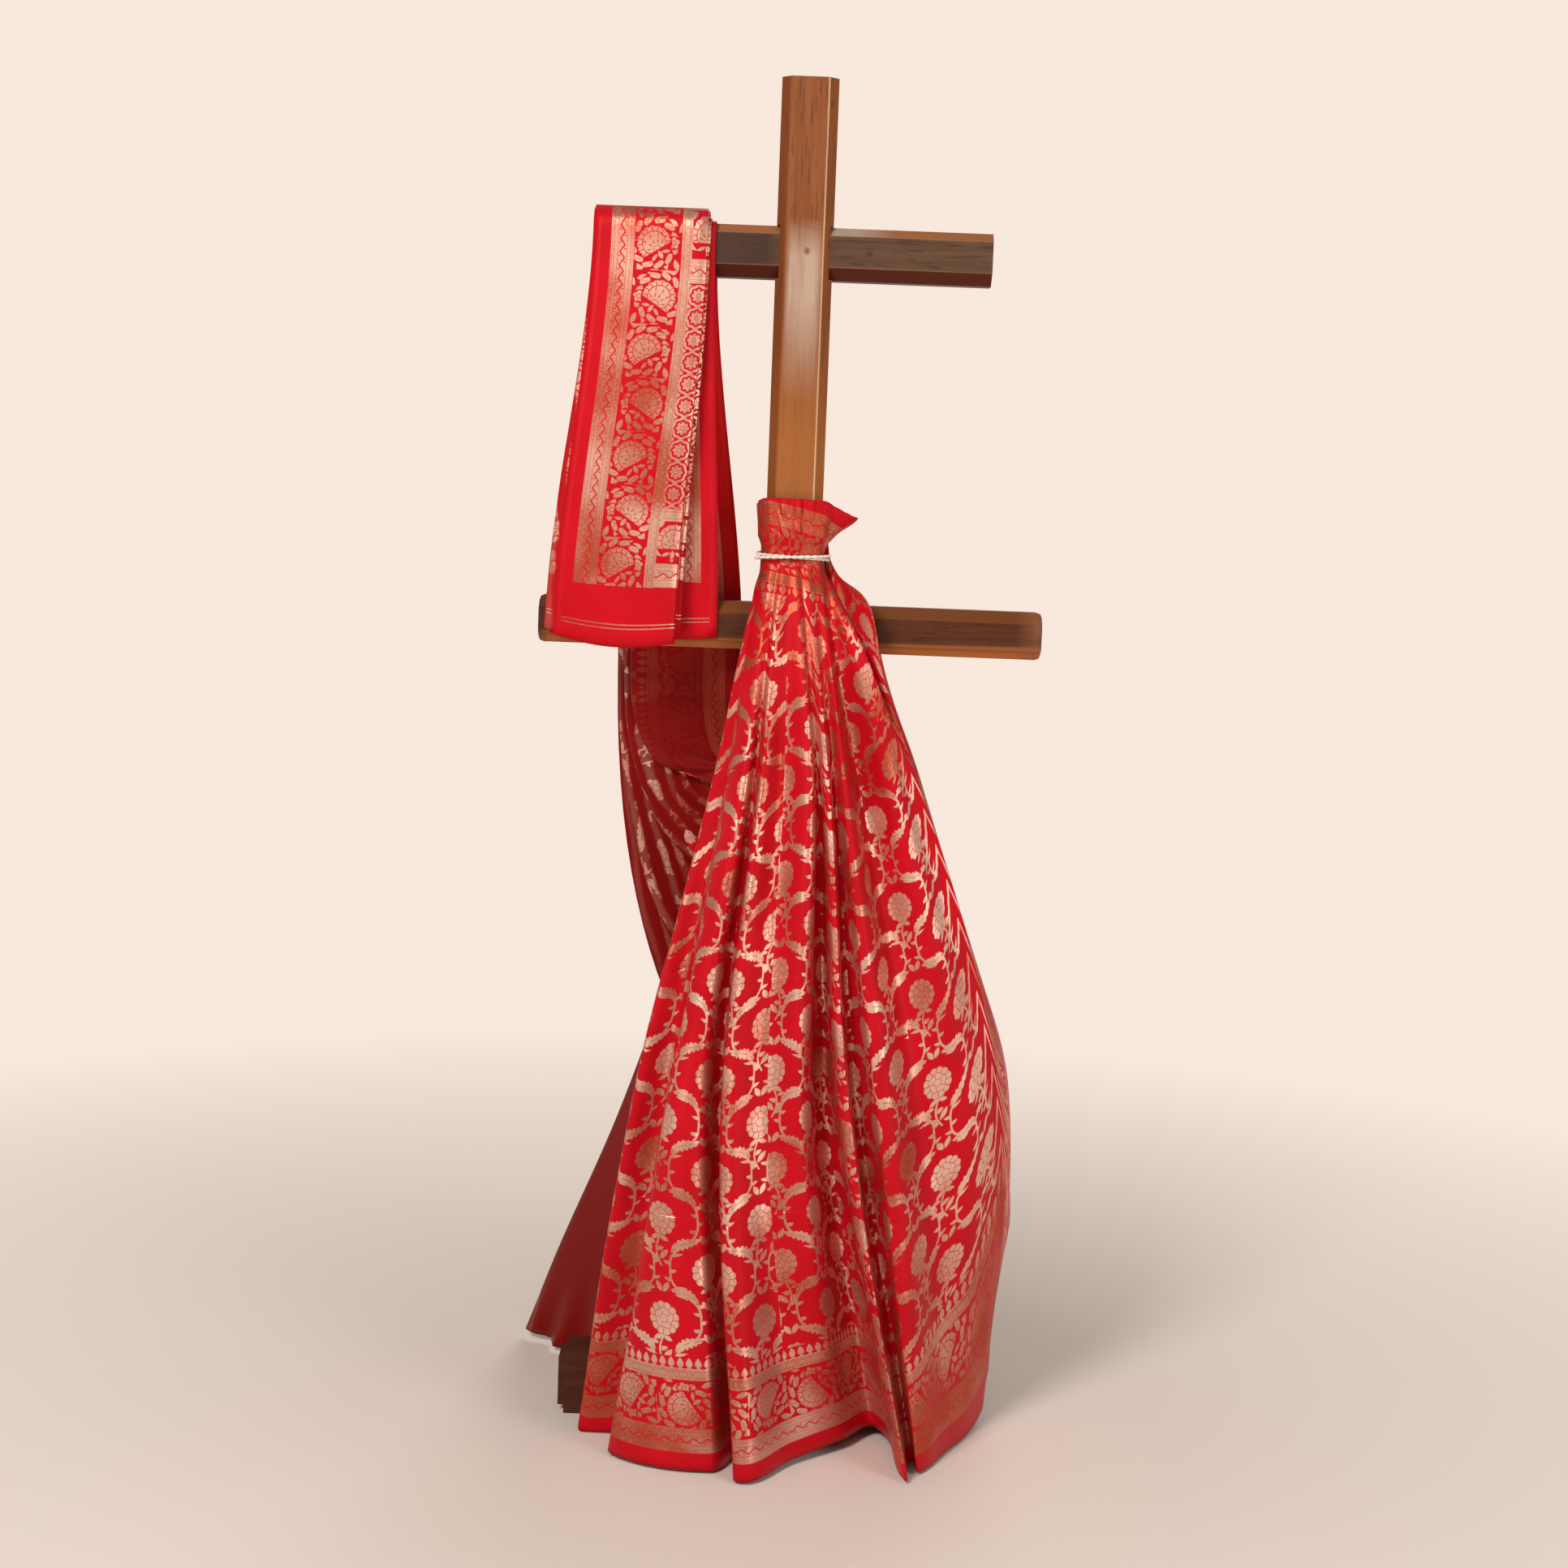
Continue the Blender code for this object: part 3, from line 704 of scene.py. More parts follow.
def upper_bar_material():
    look = WoodLook("upper_bar_wood", UPPER_WOOD)
    x, z = look.x, look.z
    cloudy = look.grain(18, 4, 0.6, 0.8)
    # Painted light: the top face is painted lighter and more orange, as lit from above.
    top = fade(z, 1421.5, 1423)
    look.paint(top, mix_colour(look.tree, cloudy, (0.17, 0.062, 0.022), (0.33, 0.125, 0.040)))
    # Painted highlight: a silvery sheen on the top face, right of the post.
    patch = fade(x, 105, 60) * fade(x, 20, 36) * fade(cloudy, 0.3, 0.55)
    look.paint(patch * top * 0.85, (0.34, 0.27, 0.22))
    look.paint(fade(x, -20, -45) * (1 - top) * 0.7, (0.030, 0.012, 0.006))
    # Painted shade: the bottom chamfer, facing down, is painted very dark.
    look.paint(fade(z, 1386.6, 1385.4) * 0.9, (0.075, 0.010, 0.003))
    look.paint(lines_in(z, UPPER_BAR_EDGES, 0.5) * 0.35, (0.35, 0.20, 0.12))
    knot = (x - 76).length((z - KNOT_Z) * 1.1)
    look.paint(filled(knot - 3, 2.5) * 0.6, (0.035, 0.010, 0.005))
    return look.finished(0.32)


def lower_bar_material():
    look = WoodLook("lower_bar_wood", LOWER_WOOD)
    x, z = look.x, look.z
    cloudy = look.grain(11, 3, 0.5, 1.0)
    look.paint(fade(z - (cloudy - 0.5) * 34, 956, 953) * 0.85, (0.27, 0.080, 0.020))
    look.paint(fade(z, 949, 945) * (look.streak * 0.6 + 0.5), (0.42, 0.140, 0.036))
    look.paint(fade(z, 980, 982) * 0.55, (0.22, 0.070, 0.020))
    worn = fade(x, 268, 292) * fade(cloudy + look.streak * 0.3, 0.5, 0.7)
    look.paint(worn, (0.23, 0.085, 0.032))
    look.paint(fade(x, -284, -296) * 0.8, (0.06, 0.010, 0.005))
    return look.finished(0.30)


def dress_wood():
    base = WoodLook("base_dark_wood", BASE_WOOD).finished(0.37)
    looks = {
        "post": post_material(),
        "upper_crossbar": upper_bar_material(),
        "lower_crossbar": lower_bar_material(),
        "base_rail": base,
        "base_foot": base,
    }
    for name, look in looks.items():
        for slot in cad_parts[name].material_slots:
            slot.link = "DATA"
            slot.material = look


# Cloth shape: the same named lines as the solid, read more finely.

COLUMNS = 21
LAYERS = 7
POINTS_PER_LAYER = 3
LAYER_STEPS = 14
TURN_STEPS = 3
CLOTH_THICK = 0.8 * MM
CLOTH_CLEAR = 2.2
HEM_CLEAR = 1.0
PITCH_ON_BAR = 2.3
PITCH_AT_PALLU_END = 6.0
PITCH_AT_DROP_END = 7.0
BAR_HALF_DEPTH = 25
BAR_WRAP_RADIUS = 8
PILE_TOP_Z = 1424
DROP_END_Z = 900
DROP_LEAN = 14
PALLU_SAG = 9
FRONT_STEPS = 38
WRAP_STEPS = 6
DROP_STEPS = 26
SWAG_STEPS = 36
SKIRT_STEPS = 10

Crease = namedtuple("Crease", "name bar_x pallu_x pallu_z drop_x")
CREASES = (
    Crease("hem selvedge", -243, -276, 950, -209),
    Crease("outer right fold", -113, -137, 944, -92),
    Crease("first left fold", -243, -284, 957, -204),
    Crease("second right fold", -115, -134, 955, -86),
    Crease("second left fold", -242, -279, 951, -196),
    Crease("third right fold", -110, -130, 954, -76),
    Crease("third left fold", -240, -274, 960, -188),
    Crease("neck selvedge", -103, -86, 952, -56),
)

RISE_T = (0, 0.38, 0.70, 0.86, 1)
Rise = namedtuple("Rise", "name hem knee waist arm top pleat")
RISES = (
    Rise("rear corner", (262, 176, 222), (220, 126), (128, 75, 725), (105, 60, 812), (86, 48, 880), 38),
    Rise("side", (290, 128, 180), (264, 66), (150, 32, 752), (126, 24, 838), (104, 18, 902), 20),
    Rise("under the arm", (291, 90, 130), (283, 12), (161, -4, 778), (132, -9, 856), (108, -13, 920), 7),
    Rise("bulge", (286, 58, 86), (283, -16), (162, -26, 788), (126, -34, 884), (102, -41, 950), 2),
    Rise("front of the arm", (282, 36, 52), (277, -36), (158, -39, 794), (106, -56, 922), (90, -68, 1000), 0),
    Rise("over the arm", (279, 26, 40), (273, -44), (154, -46, 798), (76.5, -47, 950), (52, -6, 1034), 0),
)

KNEE_Z, WAIST_Z, BAR_Z, TIE_Z = 420, 800, 968, 1050
KNEE_T, WAIST_T, BAR_T, TIE_T = 0.38, 0.70, 0.86, 0.93
Fold = namedtuple("Fold", "name kind hem knee waist bar neck swell flare head_z")
FOLDS = (
    Fold("neck corner", "face", (277, 16, 30), (268, -48), (150, -48), (70.5, -52.2), 10.3, 0.4, 3, 1077),
    Fold("side ridge", "ridge", (272, -6, 14), (258, -58), (143, -52), (75.8, -58), -6.7, 2, 33.2, 1096),
    Fold("right panel", "face", (250, -62, 4), (222, -86), (121, -66), (66, -57), -17, 3, 30, 1100),
    Fold("long valley", "valley", (222, -118, 4), (172, -92), (84, -40), (49, -43), -30, 1, 12, 1110),
    Fold("broad ridge", "ridge", (186, -188, 4), (128, -136), (70, -90), (43, -60), -43, 3, 5, 1116),
    Fold("narrow valley", "valley", (178, -166, 8), (99, -82), (56, -50), (34, -47), -54, 1, 3, 1117),
    Fold("narrow ridge", "ridge", (169, -212, 4), (85, -130), (49, -88), (27, -64), -64, 3, 4, 1117),
    Fold("deep valley", "valley", (140, -78, 14), (64, -62), (37, -46), (19, -46), -74, 1, 2, 1118),
    Fold("centre panel", "ridge", (96, -122, 14), (34, -137), (29, -92), (12, -66), -84, 3, 4, 1118),
    Fold("upper valley", "valley", (40, -172, 8), (-4, -122), (-3, -48), (-4, -46), -95, 1, 2, 1118),
    Fold("centre ridge", "ridge", (-22, -236, 4), (-54, -141), (-25, -90), (-17, -64), -106, 3, 4, 1118),
    Fold("inner valley", "valley", (-14, -156, 6), (-57, -76), (-33, -46), (-23, -46), -116, 1, 2, 1118),
    Fold("left panel", "ridge", (-56, -207, 4), (-84, -126), (-45, -84), (-31, -60), -126, 3, 4, 1118),
    Fold("left ridge", "ridge", (-171, -163, 4), (-118, -122), (-61, -68), (-41, -53), -139, 3, 3, 1117),
    Fold("left valley", "valley", (-150, -104, 6), (-121, -72), (-59, -38), (-44, -44), -151, 1, 2, 1116),
    Fold("left edge", "ridge", (-219, -90, 7), (-163, -78), (-82, -38), (-52, -42), -162, 3, 3, 1114),
    Fold("turn", "valley", (-152, -52, 84), (-130, -38), (-68, -22), (-49, -36), -168, 1, 2, 1112),
    Fold("over the rail", "ridge", (-178, 14, 92), (-140, 12), (-66, -12), (-46, -38), -173, 2, 3, 1111),
    Fold("behind the rail", "valley", (-168, 68, 44), (-132, 40), (-58, -6), (-43, -35.5), -178, 1, 2, 1110),
    Fold("end panel", "ridge", (-236, 157, 9), (-150, 62), (-53, 2), (-40, -38), -182, 2, 3, 1110),
    Fold("cut end", "face", (-316, 240, 10), (-166, 88), (-46, 6), (-36.5, -36), -186, 1, 2, 1110),
)
SKIRT_SHARES = (*np.linspace(0, BAR_T, COLUMNS - 5), 0.892, 0.918, 0.942, 0.97, 1.0)
LINE = {row.name: place for place, row in enumerate(RISES + FOLDS)}
NECK_BAND_T = 0.011
NECK_BAND = 11
NECK_CLEAR = 1.3
NECK_ROUND = 0.25
POST_HALF = 33
POST_CHAMFER = 11.5
SWAG_DROP = (0.58, 0.18)
SWAG_BACK = (0.105, 0.065)
SWAG_SWEEP = (0.155, 0.07)
SWAG_TURN = (-0.02, 0.03)
SWAG_RISE = (0.02, 0.05)
NECK_SLANT = 18
ARM_SLANT = 120
CLIMBS = {"bulge": 0, "neck corner": 205, "side ridge": 160, "right panel": 80, "broad ridge": 0}
VALLEY_LEVELLED = {"bar": 0.85, "waist": 0.6, "knee": 0.15}
LONG_VALLEY_LEVELLED = {"bar": 0.25, "waist": 0.1, "knee": 0}

Waves = namedtuple("Waves", "seed count low high slant height")
NECK_GATHERS = Waves(11, 7, 18, 46, 0.05, 0.7)
SOFT_WAVES = Waves(5, 9, 140, 360, 0.6, 1.6)
PALLU_RIPPLE = Waves(21, 5, 90, 200, 1.2, 0.9)
SWAG_PLEATS = Waves(41, 5, 45, 95, 0.3, 8)
END_RUFFLE = Waves(31, 3, 48, 80, 0.3, 9)
NECK_CRUMPLE = Waves(51, 8, 16, 36, 1.5, 1.5)
RUFFLE_WIDTH = 170
HEAD_SWELL, PINCH_SWELL = 2.8, 2.6


def blend(a, b, share):
    return a + (b - a) * share


def ease(share):
    return share * share * (3 - 2 * share)


def ramp(value, start, stop):
    """Rises from 0 at start to 1 at stop."""
    return np.clip((value - start) / (stop - start), 0, 1)


def unit(vectors):
    return vectors / np.linalg.norm(vectors, axis=-1, keepdims=True)


def lengths(rows, axis):
    """The distance to each point from the first in its row or column, measured along the grid."""
    steps = np.linalg.norm(np.diff(rows, axis=axis), axis=2)
    return np.pad(np.cumsum(steps, axis=axis), [(int(side == axis), 0) for side in (0, 1)])


def bell(value, centre, width):
    """A soft hump, 1 at its centre."""
    return np.exp(-(((value - centre) / width) ** 2))


def hermite(start, end, start_pull, end_pull, share):
    square, cube = share**2, share**3
    left = start * (2 * cube - 3 * square + 1) + start_pull * (cube - 2 * square + share)
    return left + end * (3 * square - 2 * cube) + end_pull * (cube - square)


def curve_through(knots, points, at):
    knots, points = np.asarray(knots, float), np.asarray(points, float)
    slopes = np.gradient(points, knots, axis=0, edge_order=1)
    i = np.clip(np.searchsorted(knots, at) - 1, 0, len(knots) - 2)
    span = (knots[i + 1] - knots[i])[:, None]
    share = (np.asarray(at) - knots[i])[:, None] / span
    return hermite(points[i], points[i + 1], slopes[i] * span, slopes[i + 1] * span, share)


def fine_columns():
    """Places across the cloth, in columns of the solid: evenly over each layer and round each turn."""
    places = []
    for layer in range(LAYERS):
        first = layer * POINTS_PER_LAYER
        places += list(first + np.linspace(0, 2, LAYER_STEPS + 1))
        if layer < LAYERS - 1:
            places += list(first + 2 + np.arange(1, TURN_STEPS) / TURN_STEPS)
    return np.array(places)


PLACES = fine_columns()
SHARES = np.interp(PLACES, np.arange(COLUMNS), SKIRT_SHARES)
LAYER = np.minimum(PLACES // POINTS_PER_LAYER, LAYERS - 1)
ON_LAYER = PLACES - LAYER * POINTS_PER_LAYER
OVER = np.clip(ON_LAYER / 2, 0, 1)
TURNING = np.clip(ON_LAYER - 2, 0, 1)
TURN_SIDE = np.where(LAYER % 2 == 0, 1.0, -1.0)


def across_layers(field):
    values = np.array([getattr(crease, field) for crease in CREASES], float)
    layer = LAYER.astype(int)
    return blend(values[layer], values[layer + 1], OVER)


def stand_off(pitch):
    return CLOTH_CLEAR + (LAYERS - 1 - LAYER - TURNING) * pitch


def turn_bulge(pitch):
    return TURN_SIDE * np.sin(pi * TURNING) * pitch / 2


def pile_rows():
    bar_x, end_x = across_layers("bar_x"), across_layers("pallu_x")
    end_z, drop_x = across_layers("pallu_z"), across_layers("drop_x")
    rows = []
    for share in np.linspace(0, 1, FRONT_STEPS):
        pitch = blend(PITCH_AT_PALLU_END, PITCH_ON_BAR, share)
        x = blend(end_x, bar_x, ease(share)) + turn_bulge(pitch)
        y = -BAR_HALF_DEPTH - stand_off(pitch)
        sag = PALLU_SAG * np.sin(pi * OVER) * (1 - share) ** 9
        rows.append(np.stack([x, y, blend(end_z, PILE_TOP_Z, share) - sag], 1))
    reach = stand_off(PITCH_ON_BAR) + BAR_WRAP_RADIUS
    on_bar = bar_x + turn_bulge(PITCH_ON_BAR)
    for side, angles in ((-1, (180, 90)), (1, (90, 0))):
        for angle in np.radians(np.linspace(*angles, WRAP_STEPS + 1))[1:]:
            y = side * (BAR_HALF_DEPTH - BAR_WRAP_RADIUS) + reach * cos(angle)
            rows.append(np.stack([on_bar, y, PILE_TOP_Z + reach * sin(angle)], 1))
        if side < 0:
            top = rows[-1]
            rows += [blend(top, top * (1, -1, 1), share) for share in (1 / 3, 2 / 3, 1)]
    for share in np.linspace(0, 1, DROP_STEPS)[1:]:
        pitch = blend(PITCH_ON_BAR, PITCH_AT_DROP_END, share)
        y = BAR_HALF_DEPTH + DROP_LEAN * share + stand_off(pitch)
        z = np.full(len(PLACES), blend(PILE_TOP_Z, DROP_END_Z, share))
        rows.append(np.stack([blend(bar_x, drop_x, ease(share)) + turn_bulge(pitch), y, z], 1))
    return np.array(rows)


def post_radius(angle):
    flat = POST_HALF / max(abs(cos(angle)), abs(sin(angle)))
    chamfer = (2 * POST_HALF - POST_CHAMFER) / 2**0.5
    return min(flat, chamfer / max(abs(cos(angle - pi / 4)), abs(cos(angle + pi / 4))))


def round_neck(angle, swell):
    corner = post_radius(radians(45))
    radius = max(post_radius(angle), blend(POST_HALF, corner, NECK_ROUND)) + swell
    return cos(angle) * radius, sin(angle) * radius


def fold_line(fold):
    angle = radians(fold.neck)
    tie = round_neck(angle, NECK_CLEAR + fold.swell)
    head = round_neck(angle, NECK_CLEAR + fold.swell + fold.flare)
    points = (
        fold.hem,
        (*fold.knee, KNEE_Z),
        (*fold.waist, WAIST_Z),
        (*fold.bar, BAR_Z),
        (*tie, TIE_Z - NECK_BAND),
        (*tie, TIE_Z + NECK_BAND),
        (*head, fold.head_z),
    )
    knots = (0, KNEE_T, WAIST_T, BAR_T, TIE_T - NECK_BAND_T, TIE_T + NECK_BAND_T, 1)
    return curve_through(knots, points, SHARES)


def softened(folds):
    """The folds with their valleys levelled high up, where the cloth is drawn tight over the bar."""
    out = list(folds)
    for i, fold in enumerate(folds):
        if fold.kind == "valley" and fold.name not in ("turn", "behind the rail"):
            levelled = LONG_VALLEY_LEVELLED if fold.name == "long valley" else VALLEY_LEVELLED
            for key, share in levelled.items():
                before, own, after = (np.array(getattr(near, key)) for near in folds[i - 1 : i + 2])
                out[i] = out[i]._replace(**{key: tuple(blend(own, (before + after) / 2, share))})
    return out


def skirt_rows():
    """The rows of the skirt, and for each its place along the lines, 0 at the first."""
    rises = [curve_through(RISE_T, [r.hem, (*r.knee, KNEE_Z), r.waist, r.arm, r.top], SHARES) for r in RISES]
    lines = np.array(rises + [fold_line(fold) for fold in softened(FOLDS)])
    ends = lines[1:2] - lines[:1], lines[-1:] - lines[-2:-1]
    along = unit(np.concatenate([ends[0], lines[2:] - lines[:-2], ends[1]]))
    outward = unit(np.stack([-along[:, :, 1], along[:, :, 0], 0 * along[:, :, 2]], 2))
    wave = (-np.cos(LAYERS * pi * SHARES) * (1 - 0.7 * SHARES))[:, None]
    for i, rise in enumerate(RISES):
        lines[i] += outward[i] * wave * rise.pleat
    rows, places = [lines[0]], [0.0]
    for i in range(len(lines) - 1):
        length = np.linalg.norm(lines[i + 1] - lines[i], axis=1, keepdims=True)
        for step in range(1, SKIRT_STEPS + 1):
            share = step / SKIRT_STEPS
            rows.append(hermite(lines[i], lines[i + 1], along[i] * length, along[i + 1] * length, share))
            places.append(i + share)
    return np.array(rows), np.array(places)


def swag_rows(start, end):
    across = SHARES[:, None]
    down = np.hstack([0 * across, blend(*SWAG_BACK, across), -blend(*SWAG_DROP, across)]) * 1000
    sweep = np.hstack([blend(*pull, across) for pull in (SWAG_SWEEP, SWAG_TURN, SWAG_RISE)]) * 1000
    shares = np.linspace(0, 1, SWAG_STEPS + 1)[1:-1]
    return np.array([hermite(start, end, down * 3, sweep * 3, share) for share in shares])


def panel_advance(rows):
    """The cloth length along the skirt at each quad's start and end. It is true to size in each panel
    between two valleys, from the panel's own ridge. What the neck gathers is skipped in the valleys,
    in whole repeats of the net, so that the pattern runs on across the neck."""
    kinds = ["face"] * len(RISES) + [fold.kind for fold in FOLDS]
    valleys = [i for i, kind in enumerate(kinds) if kind == "valley"]
    ends = [i * SKIRT_STEPS for i in (0, *valleys, len(kinds) - 1)]
    measured = lengths(rows, 0)
    ridges = [LINE["side ridge"]] + [kinds.index("ridge", valley) for valley in valleys]
    ridges = [measured[i * SKIRT_STEPS] for i in ridges]
    hem = slice(0, len(PLACES) // 8)
    neck = int(np.searchsorted(SHARES, BAR_T))
    repeat = NET_COLUMN * 2
    places, scales = [0.0], [1.0]
    for before, after in zip(ridges, ridges[1:]):
        at_hem, at_neck = (after - before)[hem].mean(), (after - before)[neck]
        step = at_neck + repeat * round((at_hem - at_neck) / repeat)
        places.append(places[-1] + step)
        scales.append(step / at_hem)
    scales.append(1.0)
    low = 1 - np.clip(SHARES / 0.45, 0, 1) ** 2
    starts, stops = np.empty_like(measured[1:]), np.empty_like(measured[1:])
    for panel, (first, last) in enumerate(zip(ends, ends[1:])):
        local = measured[first : last + 1] - ridges[panel]
        left, right = (1 + (scale - 1) * low for scale in scales[panel : panel + 2])
        local = np.where(local < 0, local * left, local * right) + places[panel]
        starts[first:last], stops[first:last] = local[:-1], local[1:]
    return starts, stops


def row_normals(rows):
    along = np.gradient(rows, axis=0)
    across = np.gradient(rows, axis=1)
    normal = np.cross(across, along)
    return normal / np.maximum(np.linalg.norm(normal, axis=2, keepdims=True), 1e-9)


def wavelets(u, v, waves):
    """A seeded sum of soft waves across the cloth, uneven in size and direction."""
    rng = np.random.default_rng(waves.seed)
    total = np.zeros_like(u)
    for _ in range(waves.count):
        size = rng.uniform(waves.low, waves.high)
        lean = rng.normal(0, waves.slant)
        phase = rng.uniform(0, 2 * pi)
        total += np.sin(2 * pi * (u * cos(lean) + v * sin(lean)) / size + phase) * size / waves.high
    return total * waves.height / waves.count**0.5


def cloth_lengths(rows, skirt, first, last):
    """The length along the cloth at each quad's start and end, from the pallu's cut end. The swag,
    between the first and last row, is stretched so that the pattern meets the skirt's."""
    u = lengths(rows, 0)
    u[: first + 1] = u[: first + 1].mean(axis=1, keepdims=True)
    starts, stops = panel_advance(skirt)
    reach = u[last] - u[first]
    shift = np.median(u[first] + reach - starts[0])
    starts, stops = starts + shift, stops + shift
    stretch = (starts[0] - u[first]) / reach
    u[first : last + 1] = u[first] + (u[first : last + 1] - u[first]) * stretch
    return np.concatenate([u[:last], starts]), np.concatenate([u[1 : last + 1], stops])


def waved(rows, u, v, along, swing):
    """The rows moved along their normals: gathers, soft waves, the pallu's ripple, pleats and a ruffle."""
    t = SHARES[None, :]
    near_tie = ramp(t, 0.80, 0.92) * (1 - 0.6 * bell(t, TIE_T, 0.02))
    in_skirt = ramp(along, LINE["over the arm"], LINE["right panel"])
    front = np.zeros(len(rows))
    front[:FRONT_STEPS] = np.linspace(1, 0, FRONT_STEPS) ** 1.2
    in_swag = ease(ramp(swing, 0.08, 0.30)) * ease(ramp(swing, 1, 0.7))
    at_end = ramp(along, LINE["end panel"] - 0.8, LINE["end panel"])
    waves = wavelets(u, v, NECK_GATHERS) * near_tie + wavelets(u, v, SOFT_WAVES) * (1 - t**3)
    waves = waves * in_skirt[:, None] + wavelets(u, v, PALLU_RIPPLE) * front[:, None]
    waves += wavelets(v, u * 0.1, SWAG_PLEATS) * in_swag[:, None]
    waves += wavelets(u, v, END_RUFFLE) * at_end[:, None] * ramp(v, RUFFLE_WIDTH, 0) ** 2
    return rows + row_normals(rows) * waves[:, :, None]


def crumpled(rows, u, v, along):
    """The rows moved out from the post where the neck crumples above the tie, and swells beside it."""
    t = SHARES[None, :]
    above_tie = ramp(t, TIE_T + 0.012, TIE_T + 0.024)
    swell = HEAD_SWELL * above_tie + PINCH_SWELL * bell(t, TIE_T - 0.034, 0.012)
    swell = np.abs(wavelets(u, v, NECK_CRUMPLE)) * above_tie + swell
    swell *= ramp(along, LINE["over the arm"], LINE["neck corner"])[:, None]
    rows[:, :, :2] *= (1 + swell / np.linalg.norm(rows[:, :, :2], axis=2))[:, :, None]
    rows[:, :, 2] = np.maximum(rows[:, :, 2], HEM_CLEAR)
    return rows


def climbing(v, along):
    """The distances from the hem, drawn out where the border climbs, at the turned-up right side."""
    border = BORDER_WIDTH + BUDS
    places = [LINE[name] for name in CLIMBS]
    raised = border + np.interp(along, places, list(CLIMBS.values()))[:, None]
    above = border + (v - raised) * (v[:, -1:] - border) / (v[:, -1:] - raised)
    return np.where(v < raised, v * border / raised, above)


def shape_cloth():
    """The sheet's points in millimetres, its quads' cloth lengths, and the distances from both selvedges."""
    pile = pile_rows()
    skirt, places = skirt_rows()
    swag = swag_rows(pile[-1], skirt[0])
    rows = np.concatenate([pile, swag, skirt])
    first, last = len(pile) - 1, len(pile) + len(swag)
    along, swing = np.zeros(len(rows)), np.zeros(len(rows))
    along[last:] = places
    swing[first : last + 1] = np.linspace(0, 1, last + 1 - first)
    starts, stops = cloth_lengths(rows, skirt, first, last)
    u = np.concatenate([starts, stops[-1:]])
    v = lengths(rows, 1)
    slant = ARM_SLANT * ramp(along, LINE["side ridge"], LINE["neck corner"]) * (along > 0)
    slant += NECK_SLANT * ramp(along, LINE["right panel"], LINE["left ridge"])
    near_neck = v[:, -1:] - v + slant[:, None]
    rows = crumpled(waved(rows, u, v, along, swing), u, v, along)
    return rows, starts, stops, climbing(v, along), near_neck


def quad_corners(before, after):
    """A value at each quad's four corners, in order, from its rows at the quad's start and end."""
    return np.stack([before[:, :-1], before[:, 1:], after[:, 1:], after[:, :-1]], 2)


def on_quads(grid):
    return quad_corners(grid[:-1], grid[1:])


def smooth_mesh(name, points, joins):
    """A mesh from a grid of points in millimetres, closed both ways if joins is 1."""
    index = np.arange(points.size // 3).reshape(points.shape[:2])
    quads = on_quads(np.pad(index, (0, joins), mode="wrap"))
    mesh = bpy.data.meshes.new(name)
    mesh.from_pydata((points.reshape(-1, 3) * MM).tolist(), [], quads.reshape(-1, 4).tolist())
    mesh.shade_smooth()
    return mesh


def make_sari():
    rows, starts, stops, v, near_neck = shape_cloth()
    mesh = smooth_mesh("silk_sari", rows, 0)
    along = quad_corners(starts, stops)
    places = {"cloth": (along, v), "edges": (stops.max() - along, near_neck)}
    for name, (first, second) in places.items():
        layer = mesh.uv_layers.new(name=name)
        layer.data.foreach_set("uv", (np.stack([first, on_quads(second)], 3) * MM).ravel())
    made = new_object("silk_sari", mesh)
    weave = node_group("sari_weave", ("along", "near_hem", "near_neck", "to_end"), sari_weave)
    mesh.materials.append(silk_material("silk_face", weave, False))
    mesh.materials.append(silk_material("silk_reverse", weave, True))
    thick = made.modifiers.new("Thickness", "SOLIDIFY")
    thick.thickness = CLOTH_THICK
    thick.offset = 0
    thick.material_offset = 1
    thick.material_offset_rim = 0
    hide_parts("sari")
    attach(made, "root")


# Tie

CORD_RADIUS = 1.9
TIE_HALF_SPREAD = 4.2
TIE_CROSSING_DEG = -92
TIE_STAND_OFF = 7.8
TIE_OVERLAP = 2.3
TIE_STEPS = 640
TIE_SIDES = 16
STRAND_TURNS = 76
STRAND_DEPTH = 0.20


def tie_point(turn):
    angle = turn + radians(TIE_CROSSING_DEG)
    over = TIE_OVERLAP * CORD_RADIUS * max(0, cos(turn / 2)) ** 3
    x, y = round_neck(angle, TIE_STAND_OFF + over)
    return x, y, TIE_Z + TIE_HALF_SPREAD * sin(turn / 2)


def cotton_material():
    made, tree, shader = new_material("tie_cotton_string", 0.9, Sheen_Weight=0.3)
    fuzz = noise(tree, object_place(tree), 1400, 2)
    colour = mix_colour(tree, fuzz, (0.62, 0.52, 0.45), (0.90, 0.85, 0.78))
    feed(shader, Base_Color=colour, Normal=bump(tree, fuzz, 0.5, 0.0004))
    return made


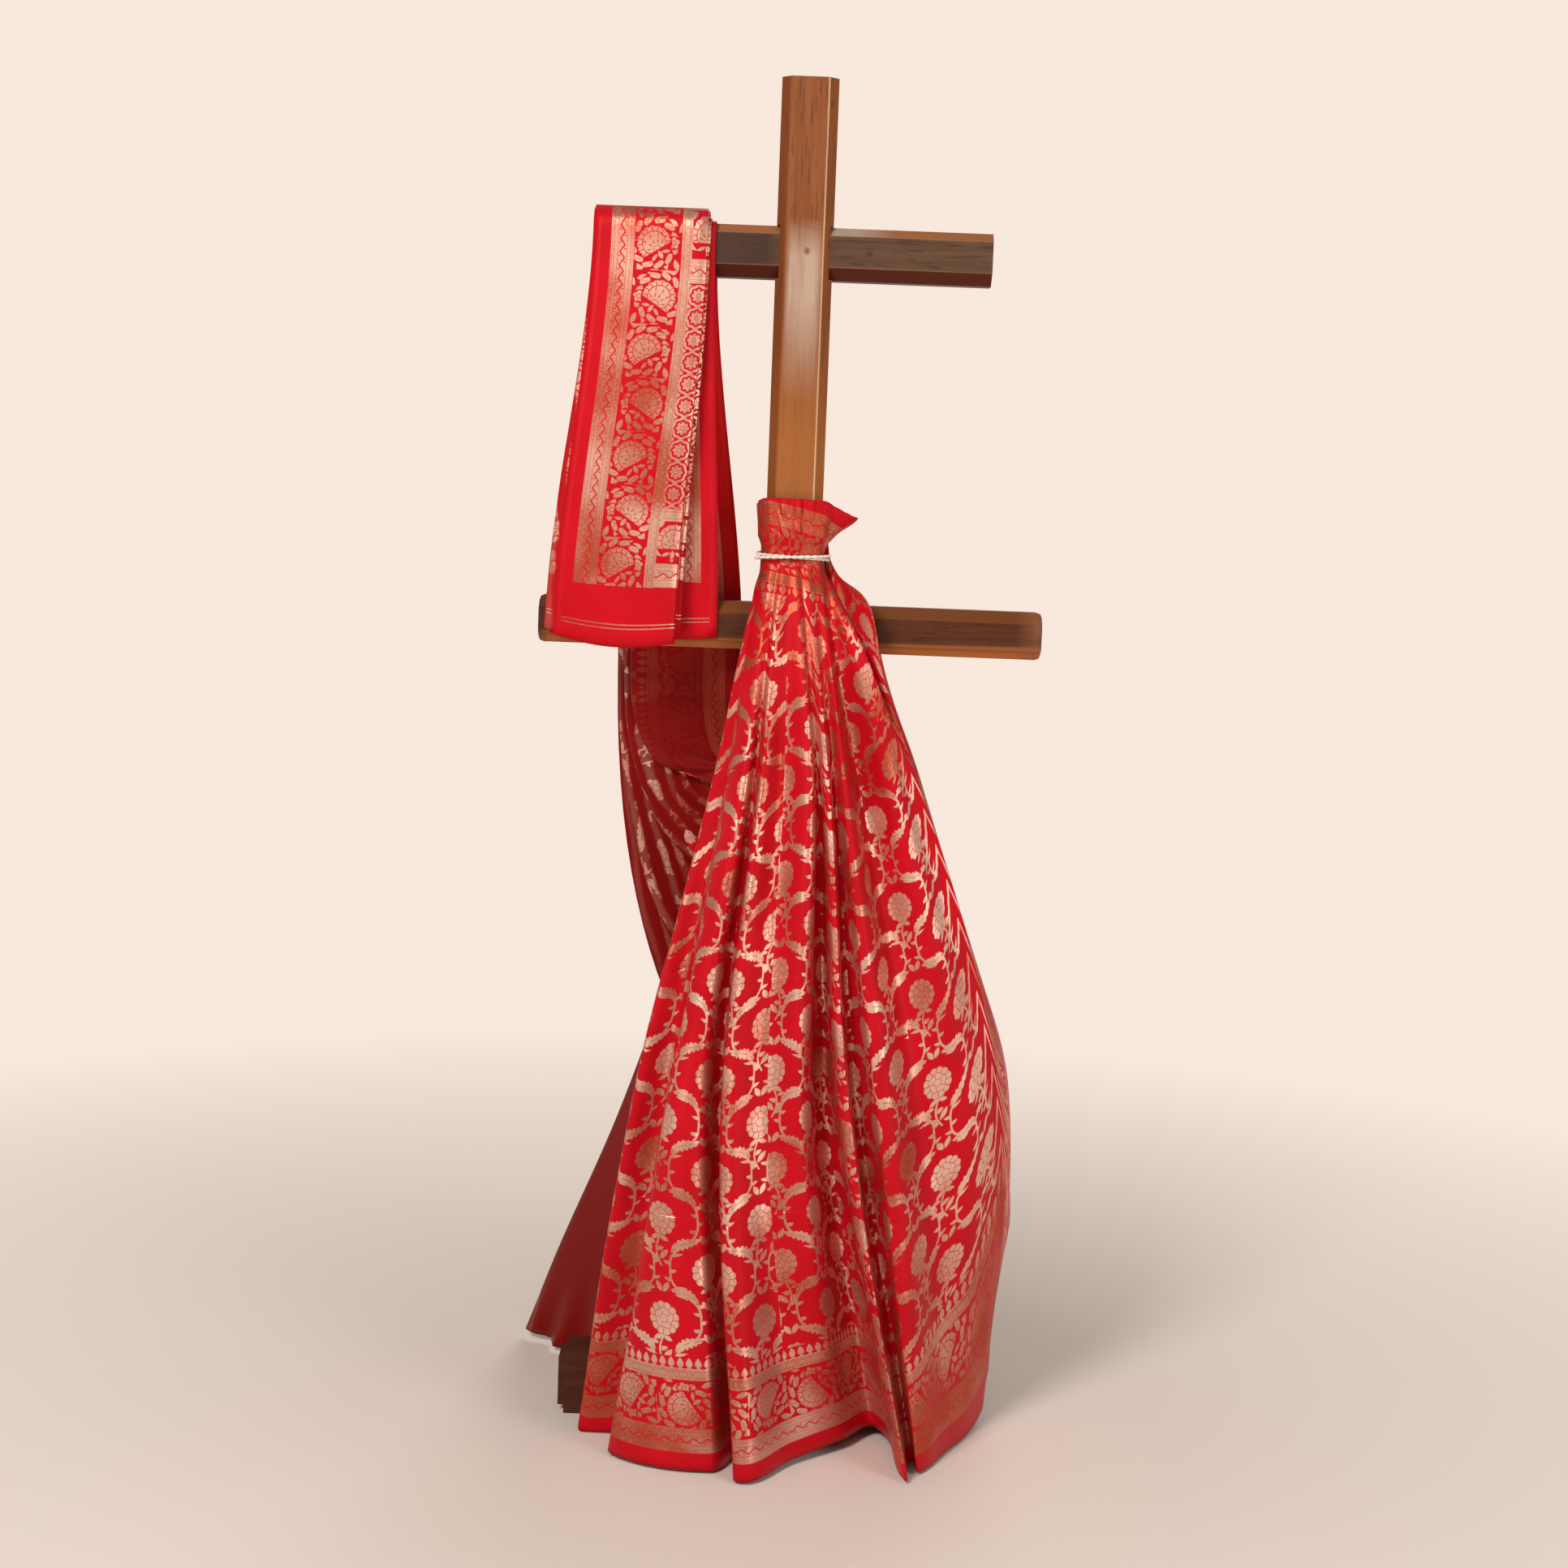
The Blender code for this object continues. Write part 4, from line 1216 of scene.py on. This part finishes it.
def make_tie():
    """Two turns of a two-strand string, its section turning along it."""
    path = np.array([tie_point(4 * pi * i / TIE_STEPS) for i in range(TIE_STEPS)])
    along = unit(np.roll(path, -1, axis=0) - np.roll(path, 1, axis=0))
    out = unit(path * (1, 1, 0))
    up = np.cross(along, out)
    turn = np.arange(TIE_SIDES) * 2 * pi / TIE_SIDES
    twist = 2 * pi * STRAND_TURNS * np.arange(TIE_STEPS) / TIE_STEPS
    bulge = np.cos(2 * (turn[None, :] - twist[:, None] / 2))
    radius = CORD_RADIUS * (1 - STRAND_DEPTH + STRAND_DEPTH * bulge)[:, :, None]
    c, s = np.cos(turn)[None, :, None], np.sin(turn)[None, :, None]
    points = path[:, None] + radius * (c * out[:, None] + s * up[:, None])
    mesh = smooth_mesh("cotton_tie", points, 1)
    mesh.materials.append(cotton_material())
    made = new_object("cotton_tie", mesh)
    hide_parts("tie_cord")
    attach(made, "root")


def backdrop_glow(tree):
    return new_node(tree, "Emission", Color=(*BACKDROP, 1)).outputs[0]


def make_room():
    """A wide sphere in the background colour, which only the camera sees."""
    bm = bmesh.new()
    bmesh.ops.create_icosphere(bm, subdivisions=4, radius=ROOM_RADIUS)
    mesh = bpy.data.meshes.new("room")
    bm.to_mesh(mesh)
    bm.free()
    room = new_object("room", mesh)
    made, tree, _ = new_material("room_glow")
    feed(tree.nodes["Material Output"], Surface=backdrop_glow(tree))
    mesh.materials.append(made)
    for ray in ("diffuse", "glossy", "transmission", "volume_scatter", "shadow"):
        setattr(room, "visible_" + ray, False)


def make_floor():
    """A pale disc that fades into the room's own colour far from the object."""
    mesh = bpy.data.meshes.new("floor")
    turn = np.linspace(0, 2 * pi, 97)[:-1]
    rim = np.stack([np.cos(turn), np.sin(turn), 0 * turn], 1) * FLOOR_RADIUS
    mesh.from_pydata(rim.tolist(), [], [list(range(len(rim)))])
    floor = new_object("floor", mesh)
    made, tree, shader = new_material("pale_floor", 0.9)
    place = object_place(tree)
    feed(shader, Base_Color=mix_colour(tree, noise(tree, place, 60, 3) * 0.3, *FLOOR_COLOURS))
    x, y, _ = millimetres(tree, place)
    both = new_node(tree, "MixShader", Fac=fade(x.length(y), *FLOOR_FADES))
    plug(both.inputs[1], shader.outputs[0])
    plug(both.inputs[2], backdrop_glow(tree))
    feed(tree.nodes["Material Output"], Surface=both.outputs[0])
    mesh.materials.append(made)


make_camera()
make_lights()
make_floor()
make_room()
dress_wood()
make_sari()
make_tie()
